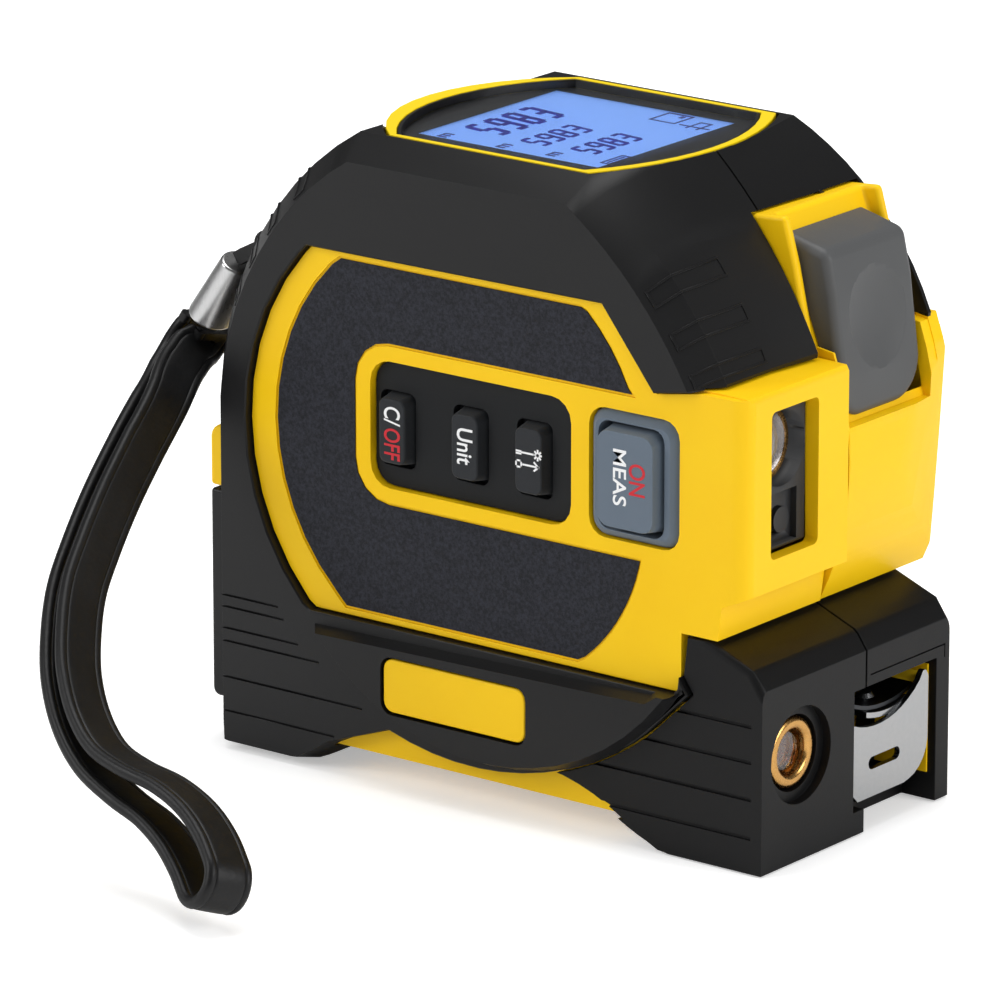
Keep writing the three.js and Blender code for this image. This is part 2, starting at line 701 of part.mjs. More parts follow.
// The hood carries the thumb lock. Its front is the plane that the lock slides on, with a slot for the stem.
const slideUp = [-0.364, 0.931]; // direction in x and z in which the lock slides open
const slotFoot = [-9.2, 61.2];
const alongSlide = ([x, z], distance, out = 0) => [
  x + slideUp[0] * distance + slideUp[1] * out,
  z + slideUp[1] * distance - slideUp[0] * out,
];
const stemSlot = slab(
  [
    alongSlide(slotFoot, -0.4, 3),
    alongSlide(slotFoot, LOCK_TRAVEL + STEM + 0.4, 3),
    alongSlide(slotFoot, LOCK_TRAVEL + STEM + 0.4, -14),
    alongSlide(slotFoot, -0.4, -14),
  ],
  STEM_NEAR - 0.4,
  STEM_FAR + 0.4,
);
add("lock_hood", slab(hoodOutline, HOOD_NEAR, HOOD_FAR).subtract(lockGate).subtract(stemSlot), yellow);

const lockSide = [
  [-13, 73],
  [-7.4, 71.6],
  [-6.2, 66],
  [-4.9, 56],
  ...bow([-4.5, LOCK.low + 1.5], [-4.5, LOCK.low + 0.5], [-4.9, LOCK.low], 4),
];
const thumbDish = rod("x", -6.9, (LOCK.near + LOCK.far) / 2, 62.4, 4.4, 3, 32, 9);
add("lock_button", slab(lockSide, LOCK.near, LOCK.far).subtract(thumbDish), greyPlastic);
// The lock's stem passes through the slot, and its pad stands against the wound blade until the lock opens.
const STEM_LENGTH = 7;
const PAD = 1.6;
const stemBar = (from, to, near, far) =>
  slab(
    [
      alongSlide(slotFoot, 0, -from),
      alongSlide(slotFoot, STEM, -from),
      alongSlide(slotFoot, STEM, -to),
      alongSlide(slotFoot, 0, -to),
    ],
    near,
    far,
  );
add("lock_stem", stemBar(0, STEM_LENGTH, STEM_NEAR, STEM_FAR), greyPlastic);
add("brake_pad", stemBar(STEM_LENGTH + GAP, STEM_LENGTH + GAP + PAD, STEM_NEAR - 2, STEM_FAR + 1), softBlack);

// ---- Tape ----
const PARTITION = { y0: -4.8, y1: -3.8, radius: 29.4 };
add(
  "partition",
  slab(circle(REEL.x, REEL.z, PARTITION.radius, 48), PARTITION.y0, PARTITION.y1).subtract(
    slab(circle(REEL.x, REEL.z, 3.3, 24), -10, 0),
  ),
  black,
);
add(
  "reel_axle",
  rod("y", REEL.x, -6.4, REEL.z, 3, 25.6, 32)
    .subtract(block(REEL.x - 0.5, REEL.x + 0.5, -4, 14, REEL.z - 4, REEL.z + 4)),
  greyPlastic,
);
const hub = reelRing(REEL.core - 2, REEL.core - 0.5, REEL.near, REEL.far);
const nearFlange = reelRing(REEL.bore, REEL.flange, REEL.near, REEL.near + FLANGE);
const farFlange = reelRing(REEL.core - 2, REEL.flange, REEL.far - FLANGE, REEL.far);
add("reel", hub.add(nearFlange).add(farFlange), softBlack);
add("power_spring", reelRing(7, REEL.core - 2.8, REEL.near + FLANGE + 0.6, REEL.far - 1.6), springSteel);
add(
  "blade_coil",
  reelRing(REEL.core - 0.2, REEL.coil - 0.4, REEL.near + FLANGE + 0.3, REEL.far - FLANGE - 0.3),
  bladePaint,
);

// The free end of the blade: a strip with a crown, drawn across the tool.
const crowned = (halfWidth, lift, thickness) => {
  const edge = lift + BLADE_CROWN * (halfWidth / (BLADE_WIDTH / 2)) ** 2;
  const from = (z, side) => [BLADE_CENTRE + side * halfWidth, z];
  return [
    ...bow(from(BLADE_HEIGHT + edge, -1), from(BLADE_HEIGHT + lift, 0), from(BLADE_HEIGHT + edge, 1)),
    ...bow(
      from(BLADE_HEIGHT + edge + thickness, 1),
      from(BLADE_HEIGHT + lift + thickness, 0),
      from(BLADE_HEIGHT + edge + thickness, -1),
    ),
  ];
};
const bladeFree = bar(crowned(BLADE_WIDTH / 2, 0, BLADE_THICKNESS), REEL.x, BLADE_FRONT);
const rivetPlaces = [-4.6, -8.4];
const RIVET = { shank: 0.7, head: 1.4 };
const rivetHole = (x, spread) => {
  const [rear, front] = [x - RIVET.shank - spread, x + RIVET.shank + 0.3];
  return plate(roundedBox(rear, BLADE_CENTRE - 1, front, BLADE_CENTRE + 1, 0.6, 3), 10, 20);
};
add(
  "blade",
  rivetPlaces.reduce((blade, x) => blade.subtract(rivetHole(x, 0.3)), bladeFree),
  bladePaint,
);
const HOOK = { back: -1.1, front: -0.3, low: 4, play: 1 };
const hookOutline = [
  [-1.1, HOOK.low],
  [8.6, HOOK.low],
  ...bow([9.6, 4.2], [12.4, 5.8], [13.6, 8.6], 5),
  [13.6, 16.6],
  ...bow([13.2, 17.3], [12.8, 17.5], [12.3, 17.2], 3),
  ...bow([11.8, 16.4], [2.6, 13], [-2.1, 14]),
  [-2.1, 5],
];
const hookSlot = bar(roundedBox(1.1, 7.5, 7.7, 9.1, 0.79), -3, 1);
const hookTab = bar(crowned(4.5, -1, 0.7), -11, HOOK.back + 0.2);
const hook = bar(hookOutline, HOOK.back, HOOK.front).subtract(hookSlot).add(hookTab);
add(
  "end_hook",
  rivetPlaces.reduce((made, x) => made.subtract(rivetHole(x, 0.3 + HOOK.play)), hook),
  steel,
);
rivetPlaces.forEach((x, i) => {
  const shank = rod("z", x, BLADE_CENTRE, BLADE_HEIGHT - 1.6, RIVET.shank, 2.6, 16);
  const lower = rod("z", x, BLADE_CENTRE, BLADE_HEIGHT - 1.9, RIVET.head, 0.5, 24);
  const upper = rod("z", x, BLADE_CENTRE, BLADE_HEIGHT + BLADE_THICKNESS + 0.3, RIVET.head, 0.5, 24, 1);
  add(`hook_rivet_${i + 1}`, shank.add(lower).add(upper), steel);
});

// ---- Display on top ----
add(
  "lcd_bezel",
  plate(bezelOutline(0), TOP - CAP_WALL + 0.2, TOP + 0.1)
    .subtract(plate(glassOutline(GAP), TOP - 5, TOP + 5)),
  yellow,
);
add("lcd_window", plate(glassOutline(0), GLASS_TOP - GLASS, GLASS_TOP), clearPlastic);
const MODULE_TOP = GLASS_TOP - GLASS - GAP;
add(
  "lcd_module",
  block(display.x0, display.x1, display.y0, display.y1, MODULE_TOP - display.thickness, MODULE_TOP),
  displayGlass,
);

// ---- Battery and rear ----
const DOOR = { back: -88.2, front: -83.8, y: 18.2, low: 4.8, high: 32.1, pivot: [-87, 5.9] };
const SPINE_TOP = 40.5;
const rearCover = (low, high, corners) =>
  slab(corners, -DOOR.y, DOOR.y).subtract(
    block(DOOR.back + 1.4, 0, -DOOR.y + 1.6, DOOR.y - 1.6, low + 1.6, high - 1.6),
  );
add(
  "battery_door",
  rearCover(DOOR.low, DOOR.high, [
    [DOOR.front, DOOR.low],
    [DOOR.front, DOOR.high],
    [DOOR.back, DOOR.high],
    ...bow([DOOR.back, DOOR.low + 1.1], [DOOR.back + 0.3, DOOR.low + 0.3], [DOOR.back + 1.1, DOOR.low], 4),
  ]),
  black,
);
const spineLow = DOOR.high + 0.4;
add(
  "rear_spine",
  rearCover(spineLow, SPINE_TOP, [
    [DOOR.front, spineLow],
    [DOOR.front, SPINE_TOP],
    ...bow([DOOR.back + 1.6, SPINE_TOP], [DOOR.back + 0.5, SPINE_TOP - 0.5], [DOOR.back, SPINE_TOP - 1.6], 4),
    [DOOR.back, spineLow],
  ]),
  yellow,
);
const CELL = { x0: -81.2, x1: -74.2, y: 16.4, z0: 8, z1: 30 };
add("battery_cell", block(CELL.x0, CELL.x1, -CELL.y, CELL.y, CELL.z0, CELL.z1), sticker);
[-9, 9].forEach((y, i) => {
  const leaf = [
    [CELL.x1 + 0.3, 26],
    [CELL.x1 + 1.4, 22],
    [CELL.x1 + 0.4, 18],
    [CELL.x1 + 1.8, 11],
  ];
  add(`battery_contact_${i + 1}`, slab(strip(leaf, 0.3), y - 2, y + 2), brass);
});

// ---- Wrist strap ----
const PIN = [-80.5, 64.2];
const STRAP_Y = -14.2;
add("strap_pin", rod("y", PIN[0], -16.7, PIN[1], 0.8, 6, 16), steel);
const crimpTop = [-85.9, 61];
const crimpFoot = [-90.7, 53.2];
const toCrimp = [
  [PIN[0] - 1.6, PIN[1] - 0.6],
  [-84.4, 62.4],
  [crimpTop[0] + 0.4, crimpTop[1] + 0.7],
];
add(
  "strap_loop",
  slab(circle(...PIN, 2, 24), STRAP_Y - 1.9, STRAP_Y + 1.9)
    .subtract(slab(circle(...PIN, 1.2, 24), -20, 0))
    .add(slab(strip(toCrimp, 1.8), STRAP_Y - 1.9, STRAP_Y + 1.9)),
  strapLeather,
);
const crimpLength = Math.hypot(crimpTop[0] - crimpFoot[0], crimpTop[1] - crimpFoot[1]);
const crimpGeometry = new THREE.CylinderGeometry(2.2, 2.8, crimpLength, 24);
crimpGeometry.scale(1, 1, 1.25);
crimpGeometry.rotateX(Math.PI / 2);
crimpGeometry.rotateY(Math.atan2(crimpTop[0] - crimpFoot[0], crimpTop[1] - crimpFoot[1]));
crimpGeometry.translate((crimpTop[0] + crimpFoot[0]) / 2, STRAP_Y - 0.5, (crimpTop[1] + crimpFoot[1]) / 2);
add("strap_crimp", solid(crimpGeometry), steel);

// The band runs down from the crimp, rounds the end of the loop and comes back beside itself.
const STRAP = { width: 6.4, thickness: 1.6, apart: 3.2 };
const strapRoute = [
  [-91.1, -14.7, 52.4],
  [-92, -14.9, 50.9],
  [-92.1, -17, 49.3],
  [-91, -20.8, 47.9],
  [-88.4, -27.2, 45.6],
  [-86.3, -34.9, 41.3],
  [-84.2, -42.2, 36.8],
  [-81.9, -48.8, 32.4],
  [-79.8, -53.8, 28.9],
  [-77, -58.2, 25.3],
  [-73.3, -62.6, 21.2],
  [-68.8, -66, 17.3],
  [-63.6, -68.5, 14.4],
  [-58, -69.8, 12.8],
  [-52.6, -70.4, 11.6],
  [-47.8, -71.6, 9.9],
  [-43.7, -73.4, 7.8],
  [-40.6, -75.3, 5.8],
];
const strapAcross = new THREE.Vector3(0.14, 0.96, -0.2); // the band's width lies this way
const strapLine = new THREE.CatmullRomCurve3(strapRoute.map((point) => new THREE.Vector3(...point)));
const STRAP_STEPS = 30;
const TURN_STEPS = 8;

// The middle of the band's outer or inner run, with its frame, from 0 at the crimp to 1 at the loop's end.
function strapStation(along, side) {
  const middle = strapLine.getPointAt(along);
  const forwards = strapLine.getTangentAt(along);
  const width = strapAcross.clone().addScaledVector(forwards, -strapAcross.dot(forwards)).normalize();
  const outwards = new THREE.Vector3().crossVectors(forwards, width);
  const opening = 1 + 0.9 * THREE.MathUtils.smoothstep(along, 0.72, 0.97);
  const reach = (side * STRAP.apart * opening) / 2;
  return { middle: middle.addScaledVector(outwards, reach), width, outwards, forwards, reach };
}
const strapStations = [];
for (let i = 0; i <= STRAP_STEPS; i++) strapStations.push(strapStation(i / STRAP_STEPS, 1));
const strapEnd = strapStation(1, 1);
for (let i = 1; i < TURN_STEPS; i++) {
  const angle = (Math.PI * i) / TURN_STEPS;
  const centre = strapEnd.middle.clone().addScaledVector(strapEnd.outwards, -strapEnd.reach);
  const outwards = strapEnd.outwards
    .clone()
    .multiplyScalar(Math.cos(angle))
    .addScaledVector(strapEnd.forwards, Math.sin(angle));
  const middle = centre.addScaledVector(outwards, strapEnd.reach);
  strapStations.push({ middle, width: strapEnd.width, outwards });
}
for (let i = STRAP_STEPS; i >= 0; i--) {
  const back = strapStation(i / STRAP_STEPS, -1);
  strapStations.push({ ...back, outwards: back.outwards.negate() });
}
const bandCorners = [
  [-0.5, 0.25],
  [-0.42, 0.5],
  [0.42, 0.5],
  [0.5, 0.25],
  [0.5, -0.25],
  [0.42, -0.5],
  [-0.42, -0.5],
  [-0.5, -0.25],
];
const strapRings = strapStations.map(({ middle, width, outwards }) =>
  bandCorners.map(([across, out]) =>
    middle
      .clone()
      .addScaledVector(width, across * STRAP.width)
      .addScaledVector(outwards, out * STRAP.thickness)
      .toArray(),
  ),
);
add("wrist_strap", skin(strapRings), strapLeather);

// ---- Belt clip and screws ----
const clipSide = strip(
  [
    [24.2, 62.5],
    [24.2, 50.5],
    [25.4, 48.6],
    [27.2, 47.4],
    [28, 45.4],
    [28, 26.5],
    [26.6, 24],
    [25.8, 22.4],
    [26.4, 20.6],
    [27.6, 19.6],
  ],
  0.9,
);
add(
  "belt_clip",
  bar(clipSide, CLIP.x - 7, CLIP.x + 7).subtract(rod("y", CLIP.x, 20, CLIP.z, CLIP.screw + GAP, 8, 20)),
  springSteel,
);
add(
  "belt_clip_screw",
  rod("y", CLIP.x, 18.4, CLIP.z, CLIP.screw, 6.8, 20)
    .add(rod("y", CLIP.x, 25, CLIP.z, CLIP.head, 1.3, 24, 2.2)),
  steel,
);
screwPlaces.forEach(([x, z], i) => {
  const shank = rod("y", x, SCREW.from, z, SCREW.shank, SCREW.seat - SCREW.from + 0.5, 12);
  const head = rod("y", x, SCREW.seat + 0.2, z, SCREW.head, 0.9, 20, 1.9);
  add(`case_screw_${i + 1}`, shank.add(head), steel);
});

export default meter;
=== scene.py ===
"""Dresses a pocket tape measure with a laser distance meter in its real surfaces.

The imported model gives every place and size. Here its shells get their fillets and grooves, and the display,
key legends, lenses, wrist strap and finishes are made.
"""

import math

import bmesh
import bpy
from mathutils import Matrix, Vector


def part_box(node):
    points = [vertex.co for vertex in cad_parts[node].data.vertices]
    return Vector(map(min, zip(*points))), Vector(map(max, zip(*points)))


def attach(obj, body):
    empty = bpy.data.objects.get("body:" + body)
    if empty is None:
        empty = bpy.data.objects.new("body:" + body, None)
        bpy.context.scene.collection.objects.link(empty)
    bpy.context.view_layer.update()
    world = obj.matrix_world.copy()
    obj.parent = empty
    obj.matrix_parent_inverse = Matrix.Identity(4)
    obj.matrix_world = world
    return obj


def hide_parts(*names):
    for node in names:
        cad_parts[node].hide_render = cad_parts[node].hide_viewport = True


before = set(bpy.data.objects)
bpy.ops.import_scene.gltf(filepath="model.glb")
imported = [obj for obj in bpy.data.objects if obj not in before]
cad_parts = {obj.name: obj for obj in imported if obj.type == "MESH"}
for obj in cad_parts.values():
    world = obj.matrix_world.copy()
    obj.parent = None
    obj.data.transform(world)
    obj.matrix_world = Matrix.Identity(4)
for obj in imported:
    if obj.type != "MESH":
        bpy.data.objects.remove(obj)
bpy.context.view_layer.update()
bpy.context.scene.view_settings.view_transform = "Standard"

MM = 0.001
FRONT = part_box("near_base")[1].x  # front face of the base
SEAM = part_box("near_base")[1].y + 0.15 * MM  # the plane where the two half shells meet


def at(x, y, z):
    """A place in millimetres: forwards from the base's front, across from the seam, up from the feet."""
    return Vector((FRONT + x * MM, SEAM + y * MM, z * MM))


def low(node):
    """The lowest corner of a node in those millimetres."""
    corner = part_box(node)[0]
    return Vector(((corner.x - FRONT) / MM, (corner.y - SEAM) / MM, corner.z / MM))


def high(node):
    """The highest corner of a node in those millimetres."""
    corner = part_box(node)[1]
    return Vector(((corner.x - FRONT) / MM, (corner.y - SEAM) / MM, corner.z / MM))


# ---- Camera ----
AZIMUTH, ELEVATION = math.radians(37.8), math.radians(16.6)
back = Vector(
    (
        math.sin(AZIMUTH) * math.cos(ELEVATION),
        -math.cos(AZIMUTH) * math.cos(ELEVATION),
        math.sin(ELEVATION),
    )
)
lens_data = bpy.data.cameras.new("studio_camera")
lens_data.sensor_width = 36
lens_data.lens = 302.1
camera = bpy.data.objects.new("studio_camera", lens_data)
bpy.context.scene.collection.objects.link(camera)
camera.location = (0.6041, -0.79660, 0.33164)
camera.rotation_mode = "QUATERNION"
camera.rotation_quaternion = (-back).to_track_quat("-Z", "Y")
bpy.context.scene.camera = camera

# ---- Wrist strap: a folded band of coated leather, its two runs lying face to face ----
BAND_WIDTH, BAND_THICKNESS, BAND_APART = 6.4, 1.6, 3.2
STRAP_ROUTE = [
    (-0.0470, -0.016875, 0.0524),
    (-0.0479, -0.017075, 0.0509),
    (-0.0480, -0.019175, 0.0493),
    (-0.0469, -0.022975, 0.0479),
    (-0.0443, -0.029375, 0.0456),
    (-0.0422, -0.037075, 0.0413),
    (-0.0401, -0.044375, 0.0368),
    (-0.0378, -0.050975, 0.0324),
    (-0.0357, -0.055975, 0.0289),
    (-0.0329, -0.060375, 0.0253),
    (-0.0292, -0.064775, 0.0212),
    (-0.0247, -0.068175, 0.0173),
    (-0.0195, -0.070675, 0.0144),
    (-0.0139, -0.071975, 0.0128),
    (-0.0085, -0.072575, 0.0116),
    (-0.0037, -0.073775, 0.0099),
    (0.0004, -0.075575, 0.0078),
    (0.0035, -0.077475, 0.0058),
]
STRAP_ACROSS = Vector((0.14, 0.96, -0.2))


def smooth_line(points):
    """Close-set points on a centripetal Catmull-Rom curve through the given ones."""
    points = [Vector(p) for p in points]
    points = [2 * points[0] - points[1], *points, 2 * points[-1] - points[-2]]
    made = []
    for a, b, c, d in zip(points, points[1:], points[2:], points[3:]):
        before, here, after = (math.sqrt((q - p).length) for p, q in ((a, b), (b, c), (c, d)))
        leave = ((b - a) / before - (c - a) / (before + here) + (c - b) / here) * here
        arrive = ((c - b) / here - (d - b) / (here + after) + (d - c) / after) * here
        for step in range(24):
            t = step / 24
            made.append(
                (2 * t**3 - 3 * t**2 + 1) * b
                + (t**3 - 2 * t**2 + t) * leave
                + (3 * t**2 - 2 * t**3) * c
                + (t**3 - t**2) * arrive
            )
    return [*made, points[-2]]


def evenly(points, count):
    """Points evenly spaced along a line, with the direction of travel at each."""
    lengths = [0.0]
    for p, q in zip(points, points[1:]):
        lengths.append(lengths[-1] + (q - p).length)
    made, k = [], 0
    for i in range(count + 1):
        goal = lengths[-1] * i / count
        while k < len(points) - 2 and lengths[k + 1] < goal:
            k += 1
        share = (goal - lengths[k]) / (lengths[k + 1] - lengths[k])
        made.append((points[k].lerp(points[k + 1], share), (points[k + 1] - points[k]).normalized()))
    return made


def opening(along):
    """How much wider the two runs stand apart than at the crimp, at a share of the way to the loop's end."""
    t = min(1, max(0, (along - 0.72) / 0.25))
    return 1 + 0.9 * t * t * (3 - 2 * t)


STRAP_STEPS, TURN_STEPS = 90, 16
stations = evenly(smooth_line(STRAP_ROUTE), STRAP_STEPS)


def run_of_band(side):
    """One run's middle points, each with its width and outward directions."""
    made = []
    for i, (middle, forwards) in enumerate(stations):
        width = (STRAP_ACROSS - forwards * STRAP_ACROSS.dot(forwards)).normalized()
        outwards = forwards.cross(width)
        reach = side * BAND_APART * MM * opening(i / STRAP_STEPS) / 2
        made.append((middle + outwards * reach, width, outwards * side))
    return made


outer_run, inner_run = run_of_band(1), run_of_band(-1)
end_middle, end_width, end_out = outer_run[-1]
end_forwards = stations[-1][1]
end_reach = BAND_APART * MM * opening(1) / 2
turn = []
for i in range(1, TURN_STEPS):
    angle = math.pi * i / TURN_STEPS
    out = end_out * math.cos(angle) + end_forwards * math.sin(angle)
    turn.append((end_middle - end_out * end_reach + out * end_reach, end_width, out))
band = [*outer_run, *turn, *reversed(inner_run)]

# Half of the band's section, across and out, as shares of its width and thickness: a rounded edge, then a
# pressed line.
HALF_SECTION = [
    (0.5, 0.0),
    (0.492, 0.22),
    (0.47, 0.38),
    (0.43, 0.47),
    (0.39, 0.5),
    (0.345, 0.47),
    (0.325, 0.42),
    (0.305, 0.47),
    (0.27, 0.49),
    (0.14, 0.5),
]
band_section = [
    *HALF_SECTION,
    *[(-x, y) for x, y in reversed(HALF_SECTION)],
    *[(-x, -y) for x, y in HALF_SECTION[1:]],
    *[(x, -y) for x, y in reversed(HALF_SECTION[1:])],
]
corners = [
    middle + width * (x * BAND_WIDTH * MM) + out * (y * BAND_THICKNESS * MM)
    for middle, width, out in band
    for x, y in band_section
]
sides = len(band_section)
faces = [
    (k * sides + i, k * sides + (i + 1) % sides, (k + 1) * sides + (i + 1) % sides, (k + 1) * sides + i)
    for k in range(len(band) - 1)
    for i in range(sides)
]
faces.append(tuple(range(sides - 1, -1, -1)))
faces.append(tuple((len(band) - 1) * sides + i for i in range(sides)))
strap_mesh = bpy.data.meshes.new("strap_band")
strap_mesh.from_pydata(corners, [], faces)
strap_band = bpy.data.objects.new("strap_band", strap_mesh)
bpy.context.scene.collection.objects.link(strap_band)


# ---- Making pieces ----
def pick(*pieces):
    """Selects these pieces and no others, the first one active."""
    bpy.ops.object.select_all(action="DESELECT")
    for piece in pieces:
        piece.select_set(True)
    bpy.context.view_layer.objects.active = pieces[0]


def edit(piece, kind="FACE", choose=None):
    """Enters edit mode with only the parts of one kind that pass a test selected, or all without a test."""
    pick(piece)
    bpy.ops.object.mode_set(mode="EDIT")
    bpy.ops.mesh.select_mode(type=kind)
    bpy.ops.mesh.select_all(action="DESELECT" if choose else "SELECT")
    if choose:
        mesh = bmesh.from_edit_mesh(piece.data)
        for item in {"FACE": mesh.faces, "EDGE": mesh.edges, "VERT": mesh.verts}[kind]:
            if choose(item):
                item.select_set(True)
        mesh.select_flush_mode()
        bmesh.update_edit_mesh(piece.data)


def leave_edit():
    bpy.ops.object.mode_set(mode="OBJECT")


def settle(name):
    """Names the primitive just added and puts its place into its mesh."""
    piece = bpy.context.object
    piece.name = name
    bpy.ops.object.transform_apply(location=True, rotation=True, scale=True)
    return piece


def block(name, low_corner, high_corner):
    """A box between two corners."""
    a, b = at(*low_corner), at(*high_corner)
    bpy.ops.object.select_all(action="DESELECT")
    bpy.ops.mesh.primitive_cube_add(size=1, location=(a + b) / 2, scale=b - a)
    return settle(name)


def leaned_block(name, start, end, up, width, depth):
    """A box along a line between two places, of that width, and of that depth along the up direction."""
    a, b = at(*start), at(*end)
    forwards = (b - a).normalized()
    side = Vector(up).cross(forwards).normalized()
    upright = forwards.cross(side)
    turned = Matrix((forwards, side, upright)).transposed()
    bpy.ops.object.select_all(action="DESELECT")
    bpy.ops.mesh.primitive_cube_add(
        size=1,
        location=(a + b) / 2,
        rotation=turned.to_euler(),
        scale=((b - a).length + width * MM, width * MM, depth * MM),
    )
    return settle(name)


FACING = {"X": (0, math.pi / 2, 0), "Y": (-math.pi / 2, 0, 0), "Z": (0, 0, 0)}


def round_bar(name, centre, radius, length, facing, sides=48):
    """A round bar, centred on a place, its end facing along an axis."""
    bpy.ops.object.select_all(action="DESELECT")
    bpy.ops.mesh.primitive_cylinder_add(
        vertices=sides,
        radius=radius * MM,
        depth=length * MM,
        location=at(*centre),
        rotation=FACING[facing],
    )
    return settle(name)


def arc(start, via, end, steps):
    """Places on the circle through three, in a plane, from the first to the last."""
    (ax, ay), (bx, by), (cx, cy) = start, via, end
    turn = 2 * (ax * (by - cy) + bx * (cy - ay) + cx * (ay - by))
    squares = (ax * ax + ay * ay, bx * bx + by * by, cx * cx + cy * cy)
    ox = (squares[0] * (by - cy) + squares[1] * (cy - ay) + squares[2] * (ay - by)) / turn
    oy = (squares[0] * (cx - bx) + squares[1] * (ax - cx) + squares[2] * (bx - ax)) / turn
    radius = math.hypot(ax - ox, ay - oy)
    first = math.atan2(ay - oy, ax - ox)
    sweep = (math.atan2(cy - oy, cx - ox) - first) % math.tau
    if turn < 0:
        sweep -= math.tau
    angles = [first + sweep * i / steps for i in range(steps + 1)]
    return [(ox + radius * math.cos(angle), oy + radius * math.sin(angle)) for angle in angles]


def trim(piece, line):
    """Cuts off what lies to the left of each step along a line of places in x and z."""
    for (ax, az), (bx, bz) in zip(line, line[1:]):
        edit(piece)
        bpy.ops.mesh.bisect(
            plane_co=at(ax, 0, az),
            plane_no=Vector((az - bz, 0, bx - ax)).normalized(),
            clear_outer=True,
            use_fill=True,
            threshold=0.0001 * MM,
        )
        leave_edit()


def trimmed_block(name, outline, near, far):
    """A block trimmed to a bulging outline, given clockwise in x and z, from one y to another."""
    xs, zs = zip(*outline)
    piece = block(name, (min(xs), near, min(zs)), (max(xs), far, max(zs)))
    trim(piece, [*outline, outline[0]])
    return piece


def merge_flat(piece, gap=0.004):
    """Merges corners closer than a gap, and triangles that lie in one plane."""
    edit(piece)
    bpy.ops.mesh.remove_doubles(threshold=gap * MM)
    bpy.ops.mesh.dissolve_degenerate(threshold=gap * MM)
    bpy.ops.mesh.dissolve_limited(angle_limit=math.radians(0.6))
    leave_edit()


def copy_of(node, name):
    """A piece from a node's shape, with its loose triangles merged into flat faces."""
    piece = bpy.data.objects.new(name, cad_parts[node].data.copy())
    bpy.context.scene.collection.objects.link(piece)
    piece.data.materials.clear()
    edit(piece)
    bpy.ops.mesh.customdata_custom_splitnormals_clear()
    leave_edit()
    merge_flat(piece)
    return piece


def modify(piece, kind, **settings):
    """Adds a modifier and applies it."""
    pick(piece)
    bpy.ops.object.modifier_add(type=kind)
    modifier = piece.modifiers[-1]
    for name, value in settings.items():
        setattr(modifier, name, value)
    bpy.ops.object.modifier_apply(modifier=modifier.name)


def cut(piece, *cutters, operation="DIFFERENCE"):
    """Cuts the cutters out of a piece, or joins them to it, and removes them."""
    pick(*cutters)
    if len(cutters) > 1:
        bpy.ops.object.join()
    cutter = bpy.context.object
    modify(piece, "BOOLEAN", operation=operation, object=cutter, solver="EXACT", use_self=True)
    bpy.data.objects.remove(cutter)


def fillet(piece, width, segments, choose):
    """Rounds the edges that pass a test."""
    edit(piece, "EDGE", choose)
    bpy.ops.mesh.bevel(offset=width * MM, segments=segments, profile=0.5, clamp_overlap=True)
    leave_edit()


def soften(piece, width=0.3, segments=2, angle=32, smooth=38):
    """Rounds every sharp edge a little and smooths the shading between flatter faces."""
    if width:
        modify(
            piece,
            "BEVEL",
            width=width * MM,
            segments=segments,
            limit_method="ANGLE",
            angle_limit=math.radians(angle),
            use_clamp_overlap=True,
            miter_outer="MITER_ARC",
        )
    pick(piece)
    bpy.ops.object.shade_smooth_by_angle(angle=math.radians(smooth))
    modify(piece, "WEIGHTED_NORMAL", keep_sharp=True)


def round_off(piece, room, waste):
    """Takes from a piece the part of the waste that lies outside the room, whose corner is round."""
    cut(waste, room)
    cut(piece, waste)


def strokes(name, lines, width, up, depth=0.06):
    """Straight printed lines between places, as one piece lying on a surface that faces up."""
    bars = [leaned_block(name, start, end, up, width, depth) for start, end in lines]
    pick(*bars)
    if len(bars) > 1:
        bpy.ops.object.join()
    return bpy.context.object


def legend(name, words, centre, right, up, length, height, depth=0.06):
    """Printed words centred on a place, read along one direction with their tops towards another."""
    bpy.ops.object.select_all(action="DESELECT")
    bpy.ops.object.text_add()
    text = bpy.context.object.data
    text.body = words
    text.offset = 0.012
    text.extrude = 0.05
    bpy.ops.object.convert(target="MESH")
    piece = bpy.context.object
    spans = list(zip(*[v.co for v in piece.data.vertices]))
    sizes = (length, height, depth)
    scale = Vector([size * MM / (max(span) - min(span)) for span, size in zip(spans, sizes)])
    middle = Vector([(max(span) + min(span)) / 2 * factor for span, factor in zip(spans, scale)])
    right, up = Vector(right), Vector(up)
    turned = Matrix((right, up, right.cross(up))).transposed()
    piece.scale = scale
    piece.rotation_euler = turned.to_euler()
    piece.location = at(*centre) - turned @ middle
    return settle(name)


def dress(piece, finish, body, nodes=()):
    """Gives a piece its finish, its body and the nodes that it stands for."""
    piece.data.materials.clear()
    piece.data.materials.append(finish)
    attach(piece, body)
    if nodes:
        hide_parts(*nodes)
    return piece


# ---- Finishes ----
def srgb(code):
    """An sRGB hex colour as the linear values that a shader takes."""
    parts = [int(code[i : i + 2], 16) / 255 for i in (1, 3, 5)]
    return (*[v / 12.92 if v <= 0.04045 else ((v + 0.055) / 1.055) ** 2.4 for v in parts], 1)


def add_node(tree, kind, settings=None, values=None, links=None):
    """Adds a node with its settings, its socket values and the outputs that feed its inputs."""
    node = tree.nodes.new(kind)
    for name, value in (settings or {}).items():
        setattr(node, name, value)
    for name, value in (values or {}).items():
        node.inputs[name].default_value = value
    for name, source in (links or {}).items():
        tree.links.new(source, node.inputs[name])
    return node


def per_metre(size_mm):
    """The scale of a pattern whose features are that many millimetres across."""
    return 1 / (size_mm * MM)


